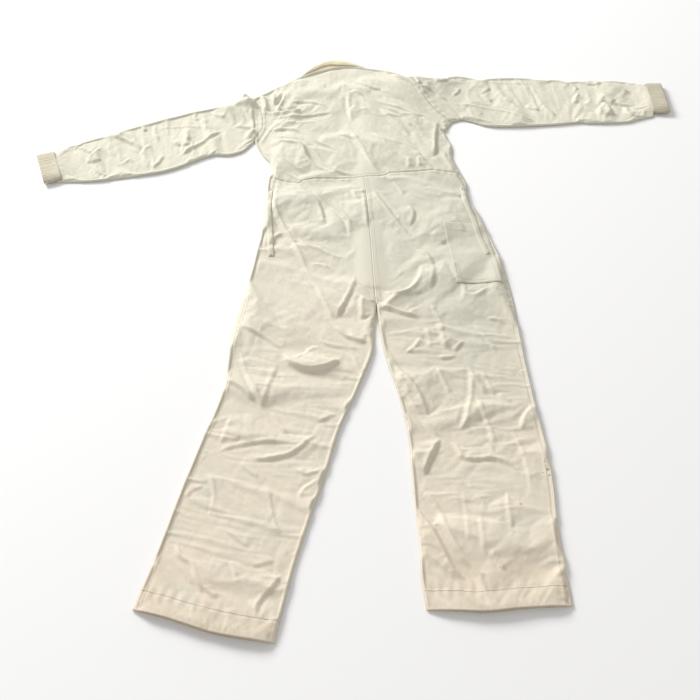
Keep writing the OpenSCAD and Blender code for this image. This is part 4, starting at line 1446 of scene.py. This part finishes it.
for k, inset in enumerate((1.6, 4.4)):
    sides = np.vstack([along_column(pocket_grid, inset, 0.5, 59 - inset, 60),
                       along_row(pocket_grid, 60 - inset / 1.3, inset, 40 - inset, 50),
                       along_column(pocket_grid, 40 - inset, 59 - inset, 0.5, 60)])
    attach(stitch_row(f"hip_pocket_stitches_{k + 1}", sides, cream_thread), "body")
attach(stitch_row("hip_pocket_hem_stitches", along_row(pocket_grid, 7.0, 2, 38, 50), cream_thread), "body")

# %% [markdown]
# ## Side openings
# Below the waist both side seams stay open for a hand's width, so the wearer can reach the trousers worn
# beneath. Each opening has a folded edge of its own, stitched along it, and a bartack at both ends: a
# small, dense block of thread that keeps the slit from tearing. The slit itself isn't cut here: the folded
# edge is laid on the panel, which stays whole.

# %% Side openings
VENTS = {"left": [(-221, 288), (-222, 240), (-219, 190), (-213, 130), (-208, 74)],
         "right": [(243, 288), (246, 240), (258, 190), (270, 130), (285, 76)]}
vent_columns = 9
for hand, places in VENTS.items():
    line = spaced(places, 90)
    ahead = np.gradient(line, axis=0)
    ahead /= np.linalg.norm(ahead, axis=1)[:, None]
    beside = np.column_stack([-ahead[:, 1], ahead[:, 0]])
    rows = []
    for k, (point, side_way) in enumerate(zip(line, beside)):
        end_fade = min(1.0, k / 8, (90 - k) / 8)
        row = []
        for t in np.linspace(-1, 1, vent_columns):
            flat = point + side_way * 6.5 * t
            lip = (1 - abs(t) ** 3) * 2.0 * end_fade
            row.append((flat[0], flat[1], height_at(*flat) + 0.7 + lip))
        rows.append(row)
    grid = np.array(rows)
    grid[2:-2, :, 2] = (grid[:-4, :, 2] + grid[1:-3, :, 2] + grid[2:-2, :, 2] + grid[3:-1, :, 2]
                        + grid[4:, :, 2]) / 5 + 0.2
    edge = sheet_piece(hand + "_side_opening_edge", grid, leg_twill, flip=True)
    declare(edge, grid, body="body", replaces=["vent_facing_" + hand])
    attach(stitch_row(hand + "_side_opening_stitches", grid[2:-2, 2], cream_thread), "body")
    for end_name, k in (("top", 2), ("bottom", 88)):
        middle = grid[k, vent_columns // 2]
        zigzag = []
        for turn_number in range(26):
            across = 3.4 * (1 if turn_number % 2 else -1)
            down = (turn_number - 13) * 0.36
            flat = middle[:2] + beside[k] * across + ahead[k] * down
            zigzag.append((flat[0], flat[1], middle[2] + 0.3))
        tack = stitch_row(f"{hand}_opening_bartack_{end_name}", zigzag, cream_thread, stitch=6.4, gap=0.3,
                          radius=0.3, lift=0.35)
        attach(tack, "body")
        if hand == "left" and end_name == "top":
            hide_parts("vent_bartacks")

# %% [markdown]
# ## Pockets, bags and the zip's folded edges
# These are the plain pieces that the fronts hold: two patch pockets under the chest, two bags behind the
# side openings, and the folded edges that carry the zip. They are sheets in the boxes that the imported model
# gives.

# %% Chest pockets, bags and facings


def box_sheet(low, high, rows, columns, z, wave):
    """A level sheet that fills a box's outline, with a slight wave."""
    grid = np.zeros((rows + 1, columns + 1, 3))
    for i, v in enumerate(np.linspace(0, 1, rows + 1)):
        for j, u in enumerate(np.linspace(0, 1, columns + 1)):
            x = low[0] + (high[0] - low[0]) * u
            y = high[1] + (low[1] - high[1]) * v
            grid[i, j] = (x, y, z + wave * noise.noise(Vector((x / 30, y / 30, z))))
    return grid


for hand in ("left", "right"):
    low, high = node_box("chest_pocket_" + hand)
    grid = box_sheet(low, high, 46, 44, 1.05, 0.08)
    from_middle = np.abs(grid[..., 0] - (low[0] + high[0]) / 2) / ((high[0] - low[0]) / 2)
    corner = np.clip((from_middle - 0.7) / 0.3, 0, 1)
    bottom = np.clip((low[1] + 22 - grid[..., 1]) / 22, 0, 1)
    grid[..., 1] += 9 * corner**1.5 * bottom**1.2
    patch = sheet_piece("chest_pocket_patch_" + hand, grid, body_twill)
    declare(patch, grid, body="body", replaces=["chest_pocket_" + hand])
    inset = 2
    line = np.vstack([grid[:-inset, inset], grid[-inset - 1, inset:-inset], grid[:-inset, -inset - 1][::-1]])
    line[:, 2] = 0.16
    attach(stitch_row("chest_pocket_stitches_" + hand, line, cream_thread, lift=0.0, radius=0.22), "body")

    low, high = node_box("pocket_bag_" + hand)
    grid = box_sheet(low, high, 50, 24, high[2] - 0.1, 0.15)
    narrow = smooth_step((low[1] + 60 - grid[..., 1]) / 60) * 0.35
    middle = (low[0] + high[0]) / 2
    grid[..., 0] = middle + (grid[..., 0] - middle) * (1 - narrow)
    bag = sheet_piece("pocket_bag_cloth_" + hand, grid, inner_twill, thickness=0.6 * MM)
    declare(bag, grid, body="body", replaces=["pocket_bag_" + hand])

    low, high = node_box("front_facing_" + hand)
    fold_x = high[0] if hand == "left" else low[0]
    open_x = low[0] if hand == "left" else high[0]
    rows = []
    for y in np.linspace(high[1], low[1], 130):
        row = []
        for t in np.linspace(0, 1, 21):
            if t < 0.5:
                x = open_x + (fold_x - open_x) * t * 2
                z = low[2] + 0.8
            else:
                x = fold_x + (open_x - fold_x) * (t - 0.5) * 2
                z = high[2] - 0.1
            round_off = abs(t - 0.5) * 2
            z = low[2] + 1.6 + (z - low[2] - 1.6) * min(1.0, round_off * 5)
            row.append((x, y, z + 0.08 * math.sin(y / 9.0)))
        rows.append(row)
    grid = np.array(rows)
    facing = sheet_piece("zip_edge_fold_" + hand, grid, inner_twill, flip=hand == "right", thickness=0.5 * MM)
    declare(facing, grid, body="body", replaces=["front_facing_" + hand])

# %% [markdown]
# ## Zip metal and tape
# The zip's tapes, teeth, stops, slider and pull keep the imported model's shapes, since they are hard parts
# that must fit each other. They only need their real finishes: old brass, bright where hands rub it and
# brown in the corners, and a tape woven in narrow ribs.

# %% Brass and tape


def brass_material(name):
    """Old brass: brown in the hollows, with fine scratches."""
    n = Nodes(name)
    place = n.add("ShaderNodeTexCoord").outputs["Object"]
    tarnish = n.ramp(n.noise(place, 240.0, 5.0, 0.65), 0.40, 0.68)
    colour = n.mix(tarnish, (0.60, 0.42, 0.17, 1), (0.30, 0.20, 0.09, 1))
    n.put(n.shader.inputs["Base Color"], colour)
    stretched = n.add("ShaderNodeMapping", {"Vector": place, "Scale": (900.0, 5200.0, 900.0)}).outputs[0]
    scratch = n.noise(stretched, 1.0, 2.0)
    n.put(n.shader.inputs["Roughness"], n.add("ShaderNodeMapRange", {"Value": scratch, "To Min": 0.28,
                                                                    "To Max": 0.50}).outputs[0])
    bump = n.add("ShaderNodeBump", {"Height": scratch, "Distance": 0.0001, "Strength": 0.35})
    n.put(n.shader.inputs["Normal"], bump.outputs[0])
    n.shader.inputs["Metallic"].default_value = 1.0
    return n.material


def tape_material(name):
    """Zip tape: fine ribs along it, and a herringbone across."""
    n = Nodes(name)
    place = n.add("ShaderNodeTexCoord").outputs["Object"]
    parts = n.add("ShaderNodeSeparateXYZ", {0: place})
    ribs = n.math("SINE", n.math("MULTIPLY", parts.outputs[0], 2 * math.pi / 0.0011))
    picks = n.math("SINE", n.math("MULTIPLY", parts.outputs[1], 2 * math.pi / 0.0009))
    height = n.math("ADD", ribs, n.math("MULTIPLY", picks, 0.5))
    dirt = n.ramp(n.noise(place, 90.0, 4.0), 0.4, 0.75)
    n.put(n.shader.inputs["Base Color"], n.mix(dirt, (0.70, 0.65, 0.50, 1), (0.52, 0.45, 0.31, 1)))
    bump = n.add("ShaderNodeBump", {"Height": height, "Distance": 0.0002, "Strength": 0.7})
    n.put(n.shader.inputs["Normal"], bump.outputs[0])
    n.shader.inputs["Roughness"].default_value = 0.85
    return n.material


old_brass = brass_material("old_brass")
woven_tape = tape_material("woven_tape")
for name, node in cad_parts.items():
    if name.startswith(("zip_teeth", "zip_stops", "zip_slider", "zip_pull", "vent_snaps")):
        finish = old_brass
    elif name.startswith("zip_tape"):
        finish = woven_tape
    else:
        continue
    node.data.materials.clear()
    node.data.materials.append(finish)

# %% [markdown]
# ## Sizes, and the end
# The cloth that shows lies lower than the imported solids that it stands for. It may reach only a little past
# their box. The two boxes are written down so that they can be compared.

# %% Sizes and finish
visual_box = [[float(x) for x in corner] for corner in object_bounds()]
for label, corners in (("CAD", cad_box), ("visual", visual_box)):
    print(label, "box in mm:", [[round(x / MM, 1) for x in corner] for corner in corners])
for name, width, length, area in SHEETS:
    print(f"sheet {name}: {width / MM:.0f} x {length / MM:.0f} mm, {area:.4f} m2")
